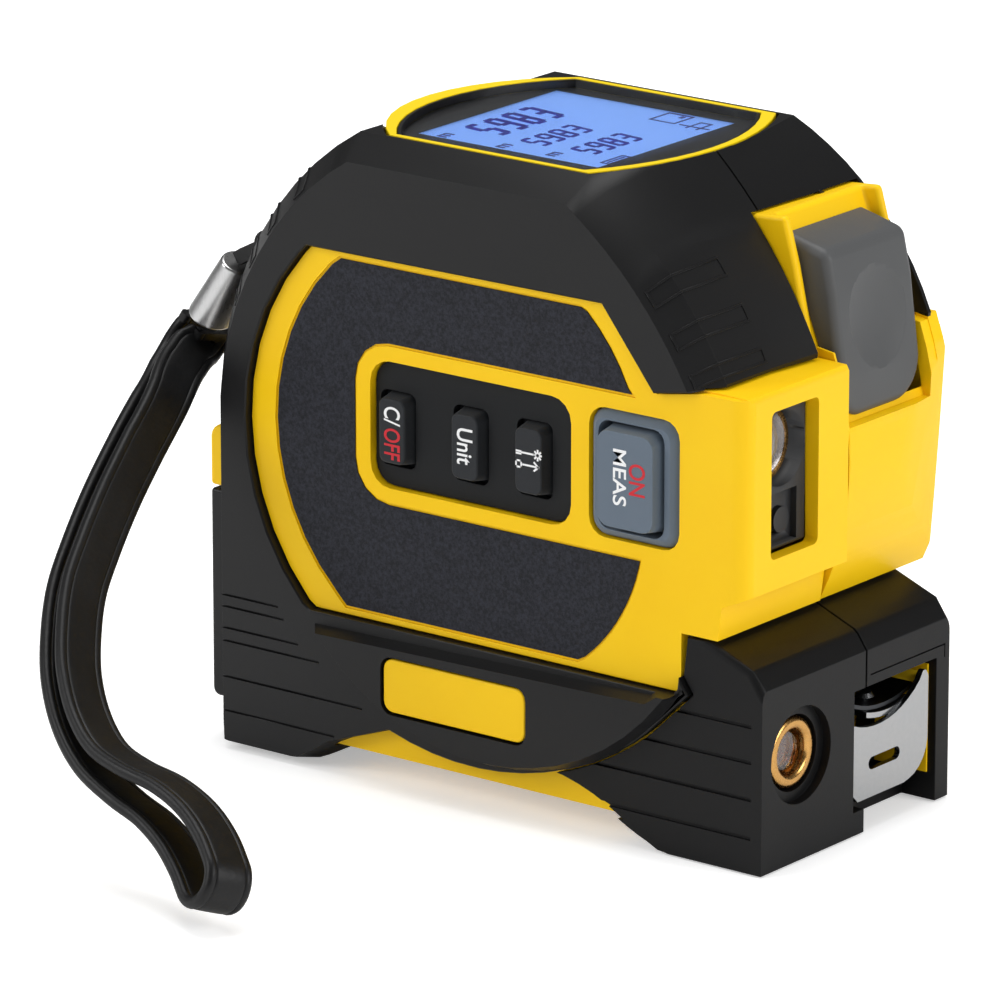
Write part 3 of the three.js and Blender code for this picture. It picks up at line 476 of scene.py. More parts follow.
def new_finish(name, **sockets):
    """A material with its Principled shader set, and the place on the object that its patterns read."""
    finish = bpy.data.materials.new(name)
    finish.use_nodes = True
    tree = finish.node_tree
    shader = tree.nodes["Principled BSDF"]
    for socket, value in sockets.items():
        shader.inputs[socket.replace("_", " ")].default_value = value
    place = add_node(tree, "ShaderNodeTexCoord").outputs["Object"]
    return finish, tree, shader, place


def noise(tree, place, size_mm, detail, **values):
    """A random pattern whose features are that many millimetres across."""
    values = {"Scale": per_metre(size_mm), "Detail": detail, **values}
    return add_node(tree, "ShaderNodeTexNoise", values=values, links={"Vector": place}).outputs["Fac"]


def blend(tree, pattern, dark, light):
    """A colour that follows a pattern from dark to light."""
    node = add_node(
        tree,
        "ShaderNodeMix",
        {"data_type": "RGBA"},
        {"A": srgb(dark), "B": srgb(light)},
        {"Factor": pattern},
    )
    return node.outputs["Result"]


def between(tree, pattern, least, most):
    """A value that follows a pattern from one limit to another."""
    values = {"To Min": least, "To Max": most}
    return add_node(tree, "ShaderNodeMapRange", values=values, links={"Value": pattern}).outputs["Result"]


def relief(tree, pattern, depth_mm, strength=1.0, **settings):
    """A surface that rises and falls with a pattern by that depth."""
    values = {"Strength": strength, "Distance": depth_mm * MM}
    return add_node(tree, "ShaderNodeBump", settings, values, {"Height": pattern}).outputs["Normal"]


def feed(tree, shader, **sources):
    """Links what the shader's sockets read."""
    for socket, source in sources.items():
        tree.links.new(source, shader.inputs[socket.replace("_", " ")])


def moulded(name, light, dark, roughness, grain_mm, depth_mm, **sockets):
    """A moulded plastic or rubber: a spark-eroded grain, and a slow drift in colour and gloss."""
    finish, tree, shader, place = new_finish(name, **sockets)
    grain = noise(tree, place, grain_mm, 3, Roughness=0.6)
    feed(
        tree,
        shader,
        Base_Color=blend(tree, noise(tree, place, 9, 2), dark, light),
        Roughness=between(tree, grain, roughness - 0.05, roughness + 0.05),
        Normal=relief(tree, grain, depth_mm),
    )
    return finish


# Injection-moulded ABS in a solid yellow: satin, with a soft highlight and hardly any grain.
yellow_abs = moulded("moulded_yellow_abs", "#fdcf0e", "#fbc707", 0.42, 0.35, 0.004, Specular_IOR_Level=0.22)
# The display's frame is the same resin off a polished tool.
bezel_abs = moulded("polished_yellow_abs", "#fddc14", "#fbd70a", 0.3, 0.5, 0.002, Specular_IOR_Level=0.25)
# Black ABS over-covers off a spark-eroded tool: a fine even grain that spreads every highlight.
black_abs = moulded(
    "spark_textured_black_abs", "#151516", "#121213", 0.42, 0.28, 0.008, Specular_IOR_Level=0.3
)
base_abs = moulded(
    "fine_textured_black_abs", "#121213", "#0f0f10", 0.44, 0.28, 0.008, Specular_IOR_Level=0.22
)
# Grey ABS of the thumb lock, as moulded.
grey_abs = moulded("moulded_grey_abs", "#565758", "#515253", 0.46, 0.3, 0.006, Specular_IOR_Level=0.3)
# Keys and mats of moulded silicone: dull, a little velvety.
key_silicone = moulded(
    "moulded_black_silicone", "#1c2025", "#181b20", 0.62, 0.25, 0.006, IOR=1.41, Sheen_Weight=0.12
)
mat_silicone = moulded("matt_black_silicone", "#0f1215", "#0d0f12", 0.7, 0.25, 0.006, IOR=1.41)
blue_silicone = moulded(
    "moulded_blue_grey_silicone", "#64717f", "#5d6a78", 0.55, 0.25, 0.006, IOR=1.41, Sheen_Weight=0.1
)
inner_abs = moulded("moulded_inner_abs", "#242528", "#1f2022", 0.5, 0.4, 0.006, IOR=1.53)

# Printed inks lie flat and slightly rough on the rubber.
white_ink = moulded("screen_printed_white_ink", "#fafafa", "#f0f1f2", 0.6, 0.2, 0.003)
red_ink = moulded("screen_printed_red_ink", "#d51f2e", "#c61a28", 0.6, 0.2, 0.003)


def speckled_film():
    """A polyester label film printed near-black with a matt crystal grain; the lighter speckles in its colour
    are painted glints of that grain.
    """
    finish, tree, shader, place = new_finish(
        "crystal_grained_label_film", Roughness=0.66, Specular_IOR_Level=0.3
    )
    grain = noise(tree, place, 0.42, 4, Roughness=0.75)
    ramp = add_node(tree, "ShaderNodeValToRGB", links={"Fac": grain})
    stops = ramp.color_ramp.elements
    stops[0].position, stops[0].color = 0.38, srgb("#121319")
    stops[1].position, stops[1].color = 0.66, srgb("#2c2e38")
    feed(tree, shader, Base_Color=ramp.outputs["Color"], Normal=relief(tree, grain, 0.02))
    return finish


label_film = speckled_film()


def worked_metal(name, light, dark, roughness, spread, grain_mm, stretch=(1, 1, 1), **sockets):
    """A metal with the fine marks of how it was worked, drawn out along the way it was turned or rolled."""
    finish, tree, shader, place = new_finish(name, Metallic=1.0, **sockets)
    drawn = add_node(tree, "ShaderNodeMapping", values={"Scale": stretch}, links={"Vector": place})
    marks = noise(tree, drawn.outputs["Vector"], grain_mm, 4, Roughness=0.6)
    feed(
        tree,
        shader,
        Base_Color=blend(tree, marks, dark, light),
        Roughness=between(tree, marks, roughness - spread, roughness + spread),
        Normal=relief(tree, marks, 0.002),
    )
    return finish


# Turned brass laser housing: warm, bright on its face, with fine random marks.
turned_brass = worked_metal("turned_brass", "#e2b470", "#c18a45", 0.26, 0.08, 0.3)
# Stamped steel with bright nickel plate: end hook, rivets and crimp.
nickel_steel = worked_metal("nickel_plated_steel", "#bcbdbf", "#a9abae", 0.24, 0.06, 0.6, (0.3, 1, 1))
brushed_nickel = worked_metal("brushed_nickel_crimp", "#dcdcdc", "#bdbdbd", 0.3, 0.08, 0.25, (1, 1, 0.12))
# Blued spring steel and zinc-plated screws.
spring_steel = worked_metal("tempered_spring_steel", "#8d9094", "#74777b", 0.34, 0.08, 0.5, (1, 1, 0.3))
zinc_screw = worked_metal("black_zinc_screw_steel", "#4d4f52", "#3a3c3f", 0.32, 0.08, 0.3)
# Yellow lacquer on the steel tape, thin and glossy.
blade_lacquer = moulded("lacquered_tape_blade", "#f6cf2a", "#efc41c", 0.3, 0.4, 0.003, Coat_Weight=0.4)
board_laminate = moulded("solder_masked_laminate", "#1f6b43", "#185636", 0.38, 0.5, 0.006)
cell_wrap = moulded("shrink_wrapped_cell", "#26304a", "#20283e", 0.34, 1.2, 0.01)


def coated_leather():
    """Split leather with a black polyurethane coat: a pebbled grain and a dull shine on its bends."""
    finish, tree, shader, place = new_finish(
        "black_coated_leather", IOR=1.5, Specular_IOR_Level=0.3
    )
    pebbles = add_node(
        tree,
        "ShaderNodeTexVoronoi",
        {"feature": "SMOOTH_F1"},
        {"Scale": per_metre(0.55), "Randomness": 1.0},
        {"Vector": place},
    )
    wear = noise(tree, place, 5, 4, Roughness=0.65)
    feed(
        tree,
        shader,
        Base_Color=blend(tree, wear, "#0c0c0d", "#171718"),
        Roughness=between(tree, wear, 0.34, 0.56),
        Normal=relief(tree, pebbles.outputs["Distance"], 0.03, 0.7, invert=True),
    )
    return finish


strap_leather = coated_leather()


def clear_part(name, tint, roughness, ior, smear_mm, **sockets):
    """A clear moulding or glass, with the faint smears that keep its gloss from being perfect."""
    finish, tree, shader, place = new_finish(
        name, Base_Color=srgb(tint), Transmission_Weight=1.0, IOR=ior, **sockets
    )
    smears = noise(tree, place, smear_mm, 3)
    feed(tree, shader, Roughness=between(tree, smears, roughness, roughness + 0.04))
    return finish


window_acrylic = clear_part("clear_acrylic_window", "#f8fafc", 0.02, 1.16, 12, Specular_IOR_Level=0.2)
# The receiving lens has a pink and gold anti-reflection coat; a faint warm tint and a clear coat stand for
# it.
lens_glass = clear_part("coated_lens_glass", "#fff4ee", 0.01, 1.52, 6, Coat_Weight=0.6, Coat_Roughness=0.02)
# Black mask printed on the underside of the display's window.
mask_ink = moulded("window_mask_ink", "#141416", "#101012", 0.4, 0.4, 0.001)


def backlight_and_painted_glow():
    """A blue transflective display with its backlight on: an even glow that is partly painted light, making
    up for the lamp light that the window keeps off, with a faint random drift in tone.
    """
    finish, tree, shader, place = new_finish("backlit_painted_glow_display", Roughness=0.4, Emission_Strength=0.62)
    glow = blend(tree, noise(tree, place, 24, 1), "#6f9cf2", "#86b0f8")
    feed(tree, shader, Base_Color=glow, Emission_Color=glow)
    return finish


display_blue = backlight_and_painted_glow()
# Lit segments are a saturated blue against it.
segment_ink = moulded("display_segment_blue", "#170cb8", "#1208a6", 0.4, 0.5, 0.001)
icon_ink = moulded("display_icon_blue", "#3a3f9c", "#34388e", 0.4, 0.5, 0.001)

# ---- Strap, its crimp and its loop ----
crimp = copy_of("strap_crimp", "crimp_sleeve")
soften(crimp, 0.35, 3)
dress(crimp, brushed_nickel, "case", ["strap_crimp"])
dress(strap_band, strap_leather, "case")
pick(strap_band)
bpy.ops.object.shade_smooth_by_angle(angle=math.radians(60))
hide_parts("wrist_strap")
loop = copy_of("strap_loop", "anchor_loop")
soften(loop, 0.4, 3)
dress(loop, strap_leather, "case", ["strap_loop"])


# ---- Black over-covers ----
COVER_SIDE = {"near": low("near_grip").y + 1.8, "far": high("far_grip").y}
COVER_RIM = {"near": -18.5, "far": 20.5}


def side_edge(y):
    """A test for the edges at a side face where a wall square to that face begins."""

    def passes(edge):
        level = all(abs(v.co.y - at(0, y, 0).y) < 0.03 * MM for v in edge.verts)
        return level and any(abs(face.normal.y) < 0.1 for face in edge.link_faces)

    return passes


def bars_along(piece, path, width, depth):
    """Bars along a line of places brought to the piece's surface, standing out from it by a depth."""
    snapped = [piece.closest_point_on_mesh(at(*place))[1] for place in path]
    bars = []
    for a, b in zip(snapped, snapped[1:]):
        up = piece.closest_point_on_mesh((a + b) / 2)[2]
        start, end = ((p - at(0, 0, 0)) / MM for p in (a, b))
        bars.append(leaned_block("mark_bar", start, end, up, width, depth * 2))
    return bars


# The grip marks: pairs of places on the rim's edge, front ones first. Each outline folds over the edge.
GRIP_MARKS = [
    ((-15.9, 71.8), (-14.1, 70.2)),
    ((-12.0, 66.8), (-10.6, 65.2)),
    ((-9.0, 61.9), (-8.0, 60.5)),
    ((-71.2, 75.6), (-72.8, 74.2)),
    ((-76.2, 70.6), (-77.4, 69.0)),
    ((-79.8, 65.9), (-80.7, 64.2)),
    ((-82.6, 60.6), (-83.4, 58.8)),
]
MARK_REACH = 8.5  # along the rim
MARK_DROP = 3.0  # across the chamfer
# Lines along the rear foot's side: how high each runs, and where it ends in front.
BUMPER_GROOVES = [(20.1, -74), (18.6, -73.1), (15.8, -70.8), (14.1, -67.5), (9.4, -60.6), (4.9, -65.1)]


def grip_marks(piece, side):
    """Fine raised outlines over one rim of a cover."""
    edge_y = COVER_RIM[side]
    inward = 1 if side == "near" else -1
    middle = Vector((-44, 0, 40))
    bars = []
    for first, second in GRIP_MARKS:
        lines = []
        for x, z in (first, second):
            edge = (piece.closest_point_on_mesh(at(x, edge_y + inward * 0.6, z))[1] - at(0, 0, 0)) / MM
            sunk = (edge - middle).normalized() * 2.4
            edge.y = edge_y
            reach = Vector((edge.x, edge_y + inward * MARK_REACH, edge.z))
            drop = Vector((edge.x - sunk.x, edge_y - inward * MARK_DROP, edge.z - sunk.z))
            lines.append((reach, edge, drop))
        (reach_a, edge_a, drop_a), (reach_b, edge_b, drop_b) = lines
        path = [edge_a, reach_a, reach_b, edge_b, drop_b, drop_a, edge_a]
        bars.extend(bars_along(piece, path, 0.3, 0.14))
    pick(*bars)
    bpy.ops.object.join()
    marks = bpy.context.object
    marks.name = f"{side}_grip_marks"
    soften(marks, 0.04, 1)
    dress(marks, black_abs, "case")


def bumper_grooves(piece):
    """Scores the rear foot's near side with lines along the tool."""
    side = COVER_SIDE["near"]
    grooves = [
        block("bumper_groove", (-86.5, side - 1, z - 0.15), (front, side + 0.3, z + 0.15))
        for z, front in BUMPER_GROOVES
    ]
    cut(piece, *grooves)


near_cover = copy_of("near_grip", "near_cover")
fillet(near_cover, 1.1, 1, side_edge(COVER_SIDE["near"]))
soften(near_cover, 0.45, 3)
grip_marks(near_cover, "near")
bumper_grooves(near_cover)
soften(near_cover, 0)
dress(near_cover, black_abs, "case", ["near_grip"])

far_cover = copy_of("far_grip", "far_cover")
fillet(far_cover, 1.1, 1, side_edge(COVER_SIDE["far"]))
soften(far_cover, 0.45, 3)
grip_marks(far_cover, "far")
dress(far_cover, black_abs, "case", ["far_grip"])

badge = copy_of("badge_plate", "badge_panel")
soften(badge, 0.25, 3)
dress(badge, yellow_abs, "case", ["badge_plate"])

# ---- Yellow shells ----
near_body = copy_of("near_shell", "near_body")


def box_corner(edge):
    """The upright edge where the front box turns to its near side."""
    return all(v.co.x > at(-3.1, 0, 0).x and v.co.y < at(0, -21.1, 0).y for v in edge.verts)


box_room = block("box_room", (-30, -21.21, 20), (-2.99, 0, 70))
fillet(box_room, 2.2, 8, box_corner)
round_off(near_body, box_room, block("box_waste", (-7, -22, 31), (-2, -17, 60)))
soften(near_body, 0.5, 3)
dress(near_body, yellow_abs, "case", ["near_shell"])

far_body = copy_of("far_shell", "far_body")
# The drum's front is bowed upright, and in plan by a large leaning bar that falls back towards the far side.
drum_front = arc((-5.5, 59.8), (-2.96, 46), (-7.2, 28.2), 12)
WALL = 1.8
BOW_RADIUS, BOW_MIDDLE, BOW_LEAN = 75, (-77.5, 2, 46), math.radians(15)


def drum_corner(edge):
    """The bowed edge where the drum's front turns to its far side."""
    return all(v.co.x > at(-8, 0, 0).x and v.co.y > at(0, 22, 0).y for v in edge.verts)


def drum_room(name, inset):
    """The room that the drum's front fills, or the one inside its wall."""
    front = [(x - inset, z) for x, z in drum_front]
    room = trimmed_block(name, [(-30, 90), (-19, 90), *front, (-19, 2), (-30, 2)], -1, 22.12 - inset)
    if inset < WALL:
        fillet(room, 4.5 - inset, 8, drum_corner)
    bpy.ops.object.select_all(action="DESELECT")
    bpy.ops.mesh.primitive_cylinder_add(
        vertices=192,
        radius=(BOW_RADIUS - inset) * MM,
        depth=160 * MM,
        location=at(*BOW_MIDDLE),
        rotation=(-BOW_LEAN, 0, 0),
    )
    cut(room, settle("bow_room"), operation="INTERSECT")
    return room


# Behind the bow stands a wall of its own, a hair inside the shell's face.
nose = drum_room("drum_nose", 0.03)
cut(nose, drum_room("drum_hollow", WALL))
nose_reach = block("nose_reach", (-16, 0.3, 28.3), (0, 22.1, 50.2))
cut(nose_reach, block("nose_side", (-16, 19.9, 50), (0, 22.1, 60.2)), operation="UNION")
cut(nose, nose_reach, operation="INTERSECT")
soften(nose, 0, smooth=40)
dress(nose, yellow_abs, "case")
soften(far_body, 0.5, 3)
round_off(far_body, drum_room("drum_room", 0), block("drum_waste", (-14, 0.05, 28.1), (0, 23, 60.4)))
soften(far_body, 0)
dress(far_body, yellow_abs, "case", ["far_shell"])

# ---- Front base ----
# The blocks' outer edges are well rounded: each is trimmed by a room with those edges.
BASE_SHAPE = [(-40, 28.02), (-7.8, 28.02), (-1.7, 25.62), (0.01, 23.2), (0.01, -0.01), (-40, -0.01)]


def base_room(side):
    """The rounded room that one of the base's blocks fills."""
    near, far = (low("near_base").y - 0.01, 0.5) if side == "near" else (-0.5, high("far_base").y + 0.01)
    outer = at(0, near if side == "near" else far, 0).y
    room = trimmed_block(f"{side}_base_room", BASE_SHAPE, near, far)

    def rounded(edge):
        """The outer side's edges in front, and the front's own top and bottom edges."""
        along = [v.co for v in edge.verts]
        in_front = all(co.x > at(-0.1, 0, 0).x for co in along)
        outside = all(abs(co.y - outer) < 0.02 * MM for co in along)
        return in_front or (outside and max(co.x for co in along) > at(-9, 0, 0).x)

    fillet(room, 1.1, 5, rounded)
    return room


near_foot = copy_of("near_base", "near_front_block")
cut(near_foot, base_room("near"), operation="INTERSECT")
soften(near_foot, 0.3, 2, smooth=29)
dress(near_foot, base_abs, "case", ["near_base"])
far_foot = copy_of("far_base", "far_front_block")
cut(far_foot, base_room("far"), operation="INTERSECT")
soften(far_foot, 0.3, 2, smooth=29)
# A fine line parts the lip over the tape's mouth.
LIP = {"near": 0.9, "far": 16.7, "low": 18.2, "high": 20}
cut(
    far_foot,
    block("lip_line", (-0.3, LIP["near"], LIP["high"] - 0.2), (1, LIP["far"], LIP["high"])),
    block("lip_end", (-0.3, LIP["far"] - 0.2, LIP["low"]), (1, LIP["far"], LIP["high"] - 0.1)),
)
soften(far_foot, 0, smooth=29)
dress(far_foot, base_abs, "case", ["far_base"])

# ---- Sticker and keys ----
label = copy_of("side_sticker", "side_label")
soften(label, 0.08, 2)
dress(label, label_film, "case", ["side_sticker"])

mat = copy_of("keypad_mat", "key_mat")
soften(mat, 0.3, 3)
dress(mat, mat_silicone, "case", ["keypad_mat"])
for node, name, body in (
    ("key_clear_off", "clear_off_cap", "clear_off_key"),
    ("key_unit", "unit_cap", "unit_key"),
    ("key_mode", "mode_cap", "mode_key"),
):
    cap = copy_of(node, name)
    soften(cap, 0.5, 4)
    dress(cap, key_silicone, body, [node])
skirt = copy_of("measure_key_skirt", "measure_skirt")
soften(skirt, 0.4, 3)
dress(skirt, blue_silicone, "case", ["measure_key_skirt"])
measure_cap = copy_of("measure_key", "measure_cap")
soften(measure_cap, 0.5, 4)
dress(measure_cap, blue_silicone, "measure_button", ["measure_key"])

# Legends on the keys are read downwards, their tops towards the tape's mouth.
DOWN, FORWARDS, SIDEWAYS = (0, 0, -1), (1, 0, 0), (0, -1, 0)
KEY_FACE = low("key_unit").y
KEY_FACES = {"measure_button": (low("measure_key").y, "blue_grey_rubber")}


def key_legend(name, words, ink, body, x, z, length, height):
    """Words printed on a key's face."""
    face, slot = KEY_FACES.get(body, (KEY_FACE, "black_rubber"))
    dress(legend(name, words, (x, face, z), DOWN, FORWARDS, length, height), ink, body)


key_legend("clear_sign", "C/", white_ink, "clear_off_key", -56.2, 47.8, 2.3, 2.5)
key_legend("off_sign", "OFF", red_ink, "clear_off_key", -56.2, 44.2, 4.0, 2.5)
key_legend("unit_sign", "Unit", white_ink, "unit_key", -44.9, 45.9, 4.6, 2.4)
key_legend("measure_sign", "MEAS", white_ink, "measure_button", -20.4, 46.7, 7.0, 2.0)
key_legend("on_sign", "ON", red_ink, "measure_button", -17.8, 46.8, 4.0, 2.4)

# The mode key's sign: the tool twice, a line to a lit spot, and an arrow.
MODE_LINES = [
    ((-36.9, 46.9), (-36.3, 46.9)),
    ((-36.9, 46.6), (-36.3, 46.6)),
    ((-37.0, 45.7), (-36.2, 45.7)),
    ((-37.0, 44.9), (-36.2, 44.9)),
    ((-37.0, 45.7), (-37.0, 44.9)),
    ((-36.2, 45.7), (-36.2, 44.9)),
    ((-36.1, 46.8), (-34.3, 46.8)),
    ((-34.2, 46.8), (-33.2, 46.8)),
    ((-33.7, 47.4), (-33.7, 46.2)),
    ((-34.1, 47.2), (-33.3, 46.4)),
    ((-34.1, 46.4), (-33.3, 47.2)),
    ((-35.9, 45.3), (-33.6, 45.3)),
    ((-33.6, 45.3), (-34.2, 45.8)),
    ((-33.6, 45.3), (-34.2, 44.8)),
]
mode_sign = strokes(
    "mode_sign",
    [((ax, KEY_FACE, az), (bx, KEY_FACE, bz)) for (ax, az), (bx, bz) in MODE_LINES],
    0.24,
    SIDEWAYS,
)
dress(mode_sign, white_ink, "mode_key")

# ---- Display ----
frame_ring = copy_of("lcd_bezel", "display_frame")
soften(frame_ring, 0.3, 3)
dress(frame_ring, bezel_abs, "case", ["lcd_bezel"])
window = copy_of("lcd_window", "display_window")
soften(window, 0.12, 2)
dress(window, window_acrylic, "case", ["lcd_window"])

WINDOW_MIDDLE = (-45.2, 0.9)
GLASS_UNDERSIDE = low("lcd_window").z
FILM = high("lcd_module").z
# A black mask is printed under the window, round the lit part.
mask = copy_of("lcd_window", "window_mask")
edit(mask)
bpy.ops.transform.resize(value=(0.99, 0.99, 0.12), center_override=at(*WINDOW_MIDDLE, FILM + 0.14))
leave_edit()
cut(mask, block("mask_opening", (-60, -11.8, FILM - 1), (-32.2, 16.3, GLASS_UNDERSIDE + 1)))
dress(mask, mask_ink, "case")
# A black gasket lines the frame's opening.
gasket, gasket_core = copy_of("lcd_window", "window_gasket"), copy_of("lcd_window", "gasket_core")
edit(gasket)
bpy.ops.transform.resize(
    value=(1.01, 1.011, 1.9), center_override=at(*WINDOW_MIDDLE, GLASS_UNDERSIDE + 0.05)
)
leave_edit()
edit(gasket_core)
bpy.ops.transform.resize(
    value=(0.992, 0.992, 8), center_override=at(*WINDOW_MIDDLE, GLASS_UNDERSIDE + 0.4)
)
leave_edit()
cut(gasket, gasket_core)
soften(gasket, 0)
dress(gasket, mask_ink, "case")

# The bars of a seven-segment digit, in a cell one wide and two high, and the bars that each digit lights.
BARS = {
    "a": ((0, 2), (1, 2)),
    "b": ((1, 1), (1, 2)),
    "c": ((1, 0), (1, 1)),
    "d": ((0, 0), (1, 0)),
    "e": ((0, 0), (0, 1)),
    "f": ((0, 1), (0, 2)),
    "g": ((0, 1), (1, 1)),
}
LIT = {"3": "abcdg", "5": "acdfg", "8": "abcdefg", "9": "abcdfg"}
SLANT = 0.1


def digit_row(name, reading, top, foot, near, far):
    """A line of seven-segment digits across the display, its tops towards the rear."""
    height = foot - top
    stroke = 0.13 * height
    pitch = (far - near - SLANT * height + 0.16 * height) / len(reading)
    width = pitch - 0.16 * height
    lines = []
    for k, digit in enumerate(reading):
        for bar in LIT[digit]:
            ends = [
                Vector(
                    (
                        foot - stroke / 2 - v / 2 * (height - stroke),
                        near + k * pitch + stroke / 2 + u * (width - stroke) + v / 2 * SLANT * height,
                        FILM + 0.04,
                    )
                )
                for u, v in BARS[bar]
            ]
            inset = (ends[1] - ends[0]).normalized() * stroke * 0.62
            lines.append((ends[0] + inset, ends[1] - inset))
    row = strokes(name, lines, stroke, (0, 0, 1))
    return dress(row, segment_ink, "case")


digit_row("upper_digits", "5983", -58, -51.5, -6, 8)
digit_row("middle_digits", "5983", -48.4, -44.2, -6.9, 3.8)
digit_row("lower_digits", "5983", -41.1, -36.8, -6.4, 4.1)
for number, (x, y) in enumerate([(-57.1, -9.8), (-48.2, -9.6), (-40.9, -9.1)], 1):
    unit = legend(f"unit_mark_{number}", "m", (x, y, FILM + 0.04), (0, 1, 0), (-1, 0, 0), 1.9, 1.4)
    dress(unit, icon_ink, "case")


def flat_lines(corners, closed=True):
    """The lines between places on the display's film."""
    places = [(x, y, FILM + 0.04) for x, y in corners]
    following = [*places[1:], places[0]] if closed else places[1:]
    return list(zip(places, following))


ICON_LINES = [
    *flat_lines([(-33.9, -8.9), (-33.9, -4.6), (-32.7, -4.6), (-32.7, -8.9)]),
    *flat_lines([(-33.3, -8.3), (-33.3, -7.6)], False),
    *flat_lines([(-33.3, -7.1), (-33.3, -6.4)], False),
    *flat_lines([(-33.3, -5.9), (-33.3, -5.2)], False),
    *flat_lines([(-42.2, 12), (-42.2, 16), (-38.5, 16), (-38.5, 12)]),
    *flat_lines([(-39.4, 14.8), (-39.4, 15.4)], False),
    *flat_lines([(-39.7, 14.8), (-39.7, 15.4)], False),
    *flat_lines([(-37.6, 12.1), (-33.3, 12.1)], False),
    *flat_lines([(-36.1, 11.3), (-36.1, 14.4), (-34.5, 14.4), (-34.5, 11.3)], False),
]
icons = strokes("display_icons", ICON_LINES, 0.26, (0, 0, 1))
dress(icons, icon_ink, "case")

# ---- Lock ----
hood = copy_of("lock_hood", "hood_frame")
soften(hood, 0.6, 3)
dress(hood, yellow_abs, "case", ["lock_hood"])
LOCK_FRONT = [(-20, 74.75), (-7.4, 71.6), (-6.2, 66), (-4.9, 56), (-4.5, 50.9)]
lock_near, lock_far = low("lock_button").y, high("lock_button").y


def foot_corner(y):
    """A test for the lowest edge along the tool at one side."""
    side = at(0, y, 60)
    return lambda edge: all(abs(v.co.y - side.y) < 0.2 * MM and v.co.z < side.z for v in edge.verts)


thumb = block("thumb_slide", (-20, lock_near, low("lock_button").z), (-3, lock_far, 76))
fillet(thumb, 5.4, 10, foot_corner(lock_far))
fillet(thumb, 3.6, 8, foot_corner(lock_near))
trim(thumb, LOCK_FRONT)
soften(thumb, 1.2, 5)
# Its back lies along the way that it slides.
edit(thumb)
bpy.ops.mesh.bisect(plane_co=at(-4.9, 0, 51), plane_no=(-0.931, 0, -0.364), clear_outer=True, use_fill=True)
leave_edit()
# The thumb's dish is part of an oval ball that dips a millimetre into the leaning front.
LEAN = math.atan(0.13)
bpy.ops.object.select_all(action="DESELECT")
bpy.ops.mesh.primitive_uv_sphere_add(
    segments=64,
    ring_count=32,
    radius=1,
    location=at(-3.7, (lock_near + lock_far) / 2 + 0.2, 62.9),
    rotation=(0, -LEAN, 0),
    scale=(3 * MM, 8.2 * MM, 9.6 * MM),
)
cut(thumb, settle("thumb_ball"))
soften(thumb, 0, smooth=24)
dress(thumb, grey_abs, "thumb_lock", ["lock_button"])

# ---- Rear ----
door = copy_of("battery_door", "battery_lid")
soften(door, 0.5, 3)
door_back = low("battery_door").x
ribs = [block("lid_rib", (door_back - 1, -9, z), (door_back + 0.5, 9, z + 0.9)) for z in (22, 24, 26, 28)]
cut(door, *ribs)
soften(door, 0)
dress(door, black_abs, "battery_cover", ["battery_door"])
spine = copy_of("rear_spine", "spine_cap")
soften(spine, 0.5, 3)
dress(spine, yellow_abs, "case", ["rear_spine"])

# ---- Tape hook and far side ----
# A strip of the yellow shell lines the far wall of the tape's mouth.
liner = block("mouth_liner", (-9, 14.55, 3.6), (-1.1, 14.86, 17.6))
soften(liner, 0.1, 2)
dress(liner, yellow_abs, "case")
hook = copy_of("end_hook", "hook_plate")
soften(hook, 0.3, 3)
dress(hook, nickel_steel, "tape_hook", ["end_hook"])
clip = copy_of("belt_clip", "belt_spring")
soften(clip, 0.25, 3)
dress(clip, spring_steel, "case", ["belt_clip"])

# Dark steel laid over the blade's end, all but a strip at its far side, is painted shade: it darkens the tape
# where the mouth above the hook lies in shade.
SHADE_BACK, SHADE_EDGE = -12, 11.8
shade_sheet = copy_of("blade", "blade_painted_shade")
for place, cut_off in ((at(SHADE_BACK, 0, 0), (-1, 0, 0)), (at(0, SHADE_EDGE, 0), (0, 1, 0))):
    edit(shade_sheet)
    bpy.ops.mesh.bisect(plane_co=place, plane_no=cut_off, clear_outer=True, use_fill=True)
    leave_edit()
edit(shade_sheet)
bpy.ops.transform.shrink_fatten(value=0.07 * MM)
leave_edit()
soften(shade_sheet, 0)
dress(shade_sheet, zinc_screw, "tape_blade")

# Marks every five millimetres along the blade's near edge, longer at each centimetre.
BLADE_MIDDLE, BLADE_TOP = 5.9, high("blade").z
blade_marks = []
for count in range(5):
    x = -16 - 5 * count
    reach = 2.6 if count % 2 else 3.8
    lines = [-1.6 + reach * i / 4 for i in range(5)]
    places = [(x, y, BLADE_TOP - 2 + 2 * ((y - BLADE_MIDDLE) / 7.9) ** 2) for y in lines]
    blade_marks.extend(zip(places, places[1:]))
dress(strokes("blade_marks", blade_marks, 0.35, (0, 0, 1), 0.1), mask_ink, "tape_blade")

# ---- Lasers ----
barrel = copy_of("laser_barrel", "laser_ring")
soften(barrel, 0.7, 4)
dress(barrel, turned_brass, "case", ["laser_barrel"])
laser_glass = copy_of("laser_lens", "laser_glass")
soften(laser_glass, 0.2, 3, smooth=50)
dress(laser_glass, lens_glass, "case", ["laser_lens"])

# The rangefinder's housing, with its wide receiving lens above the emitter's square shade.
EYE = {"y": -11.5, "z": 50.6, "radius": 4.2, "front": -6}
EMITTER = {"y": -11.3, "z": 41.3, "radius": 1.9}
housing = block("range_housing", (-14, -15.7, 38.1), (-4.7, -6.5, 55.9))
eye_bore = round_bar("eye_bore", (-4, EYE["y"], EYE["z"]), 4.75, 10, "X", 64)
shade_bore = round_bar("shade_bore", (-4, EMITTER["y"], EMITTER["z"]), EMITTER["radius"], 12, "X", 40)
shade = block("shade_recess", (-5.6, EMITTER["y"] - 2.9, 38.7), (-4, EMITTER["y"] + 2.9, 45.2))
soften(housing, 0.4, 3)
cut(housing, eye_bore)
cut(housing, shade)
cut(housing, shade_bore)
soften(housing, 0)
dress(housing, inner_abs, "case", ["rangefinder_holder"])

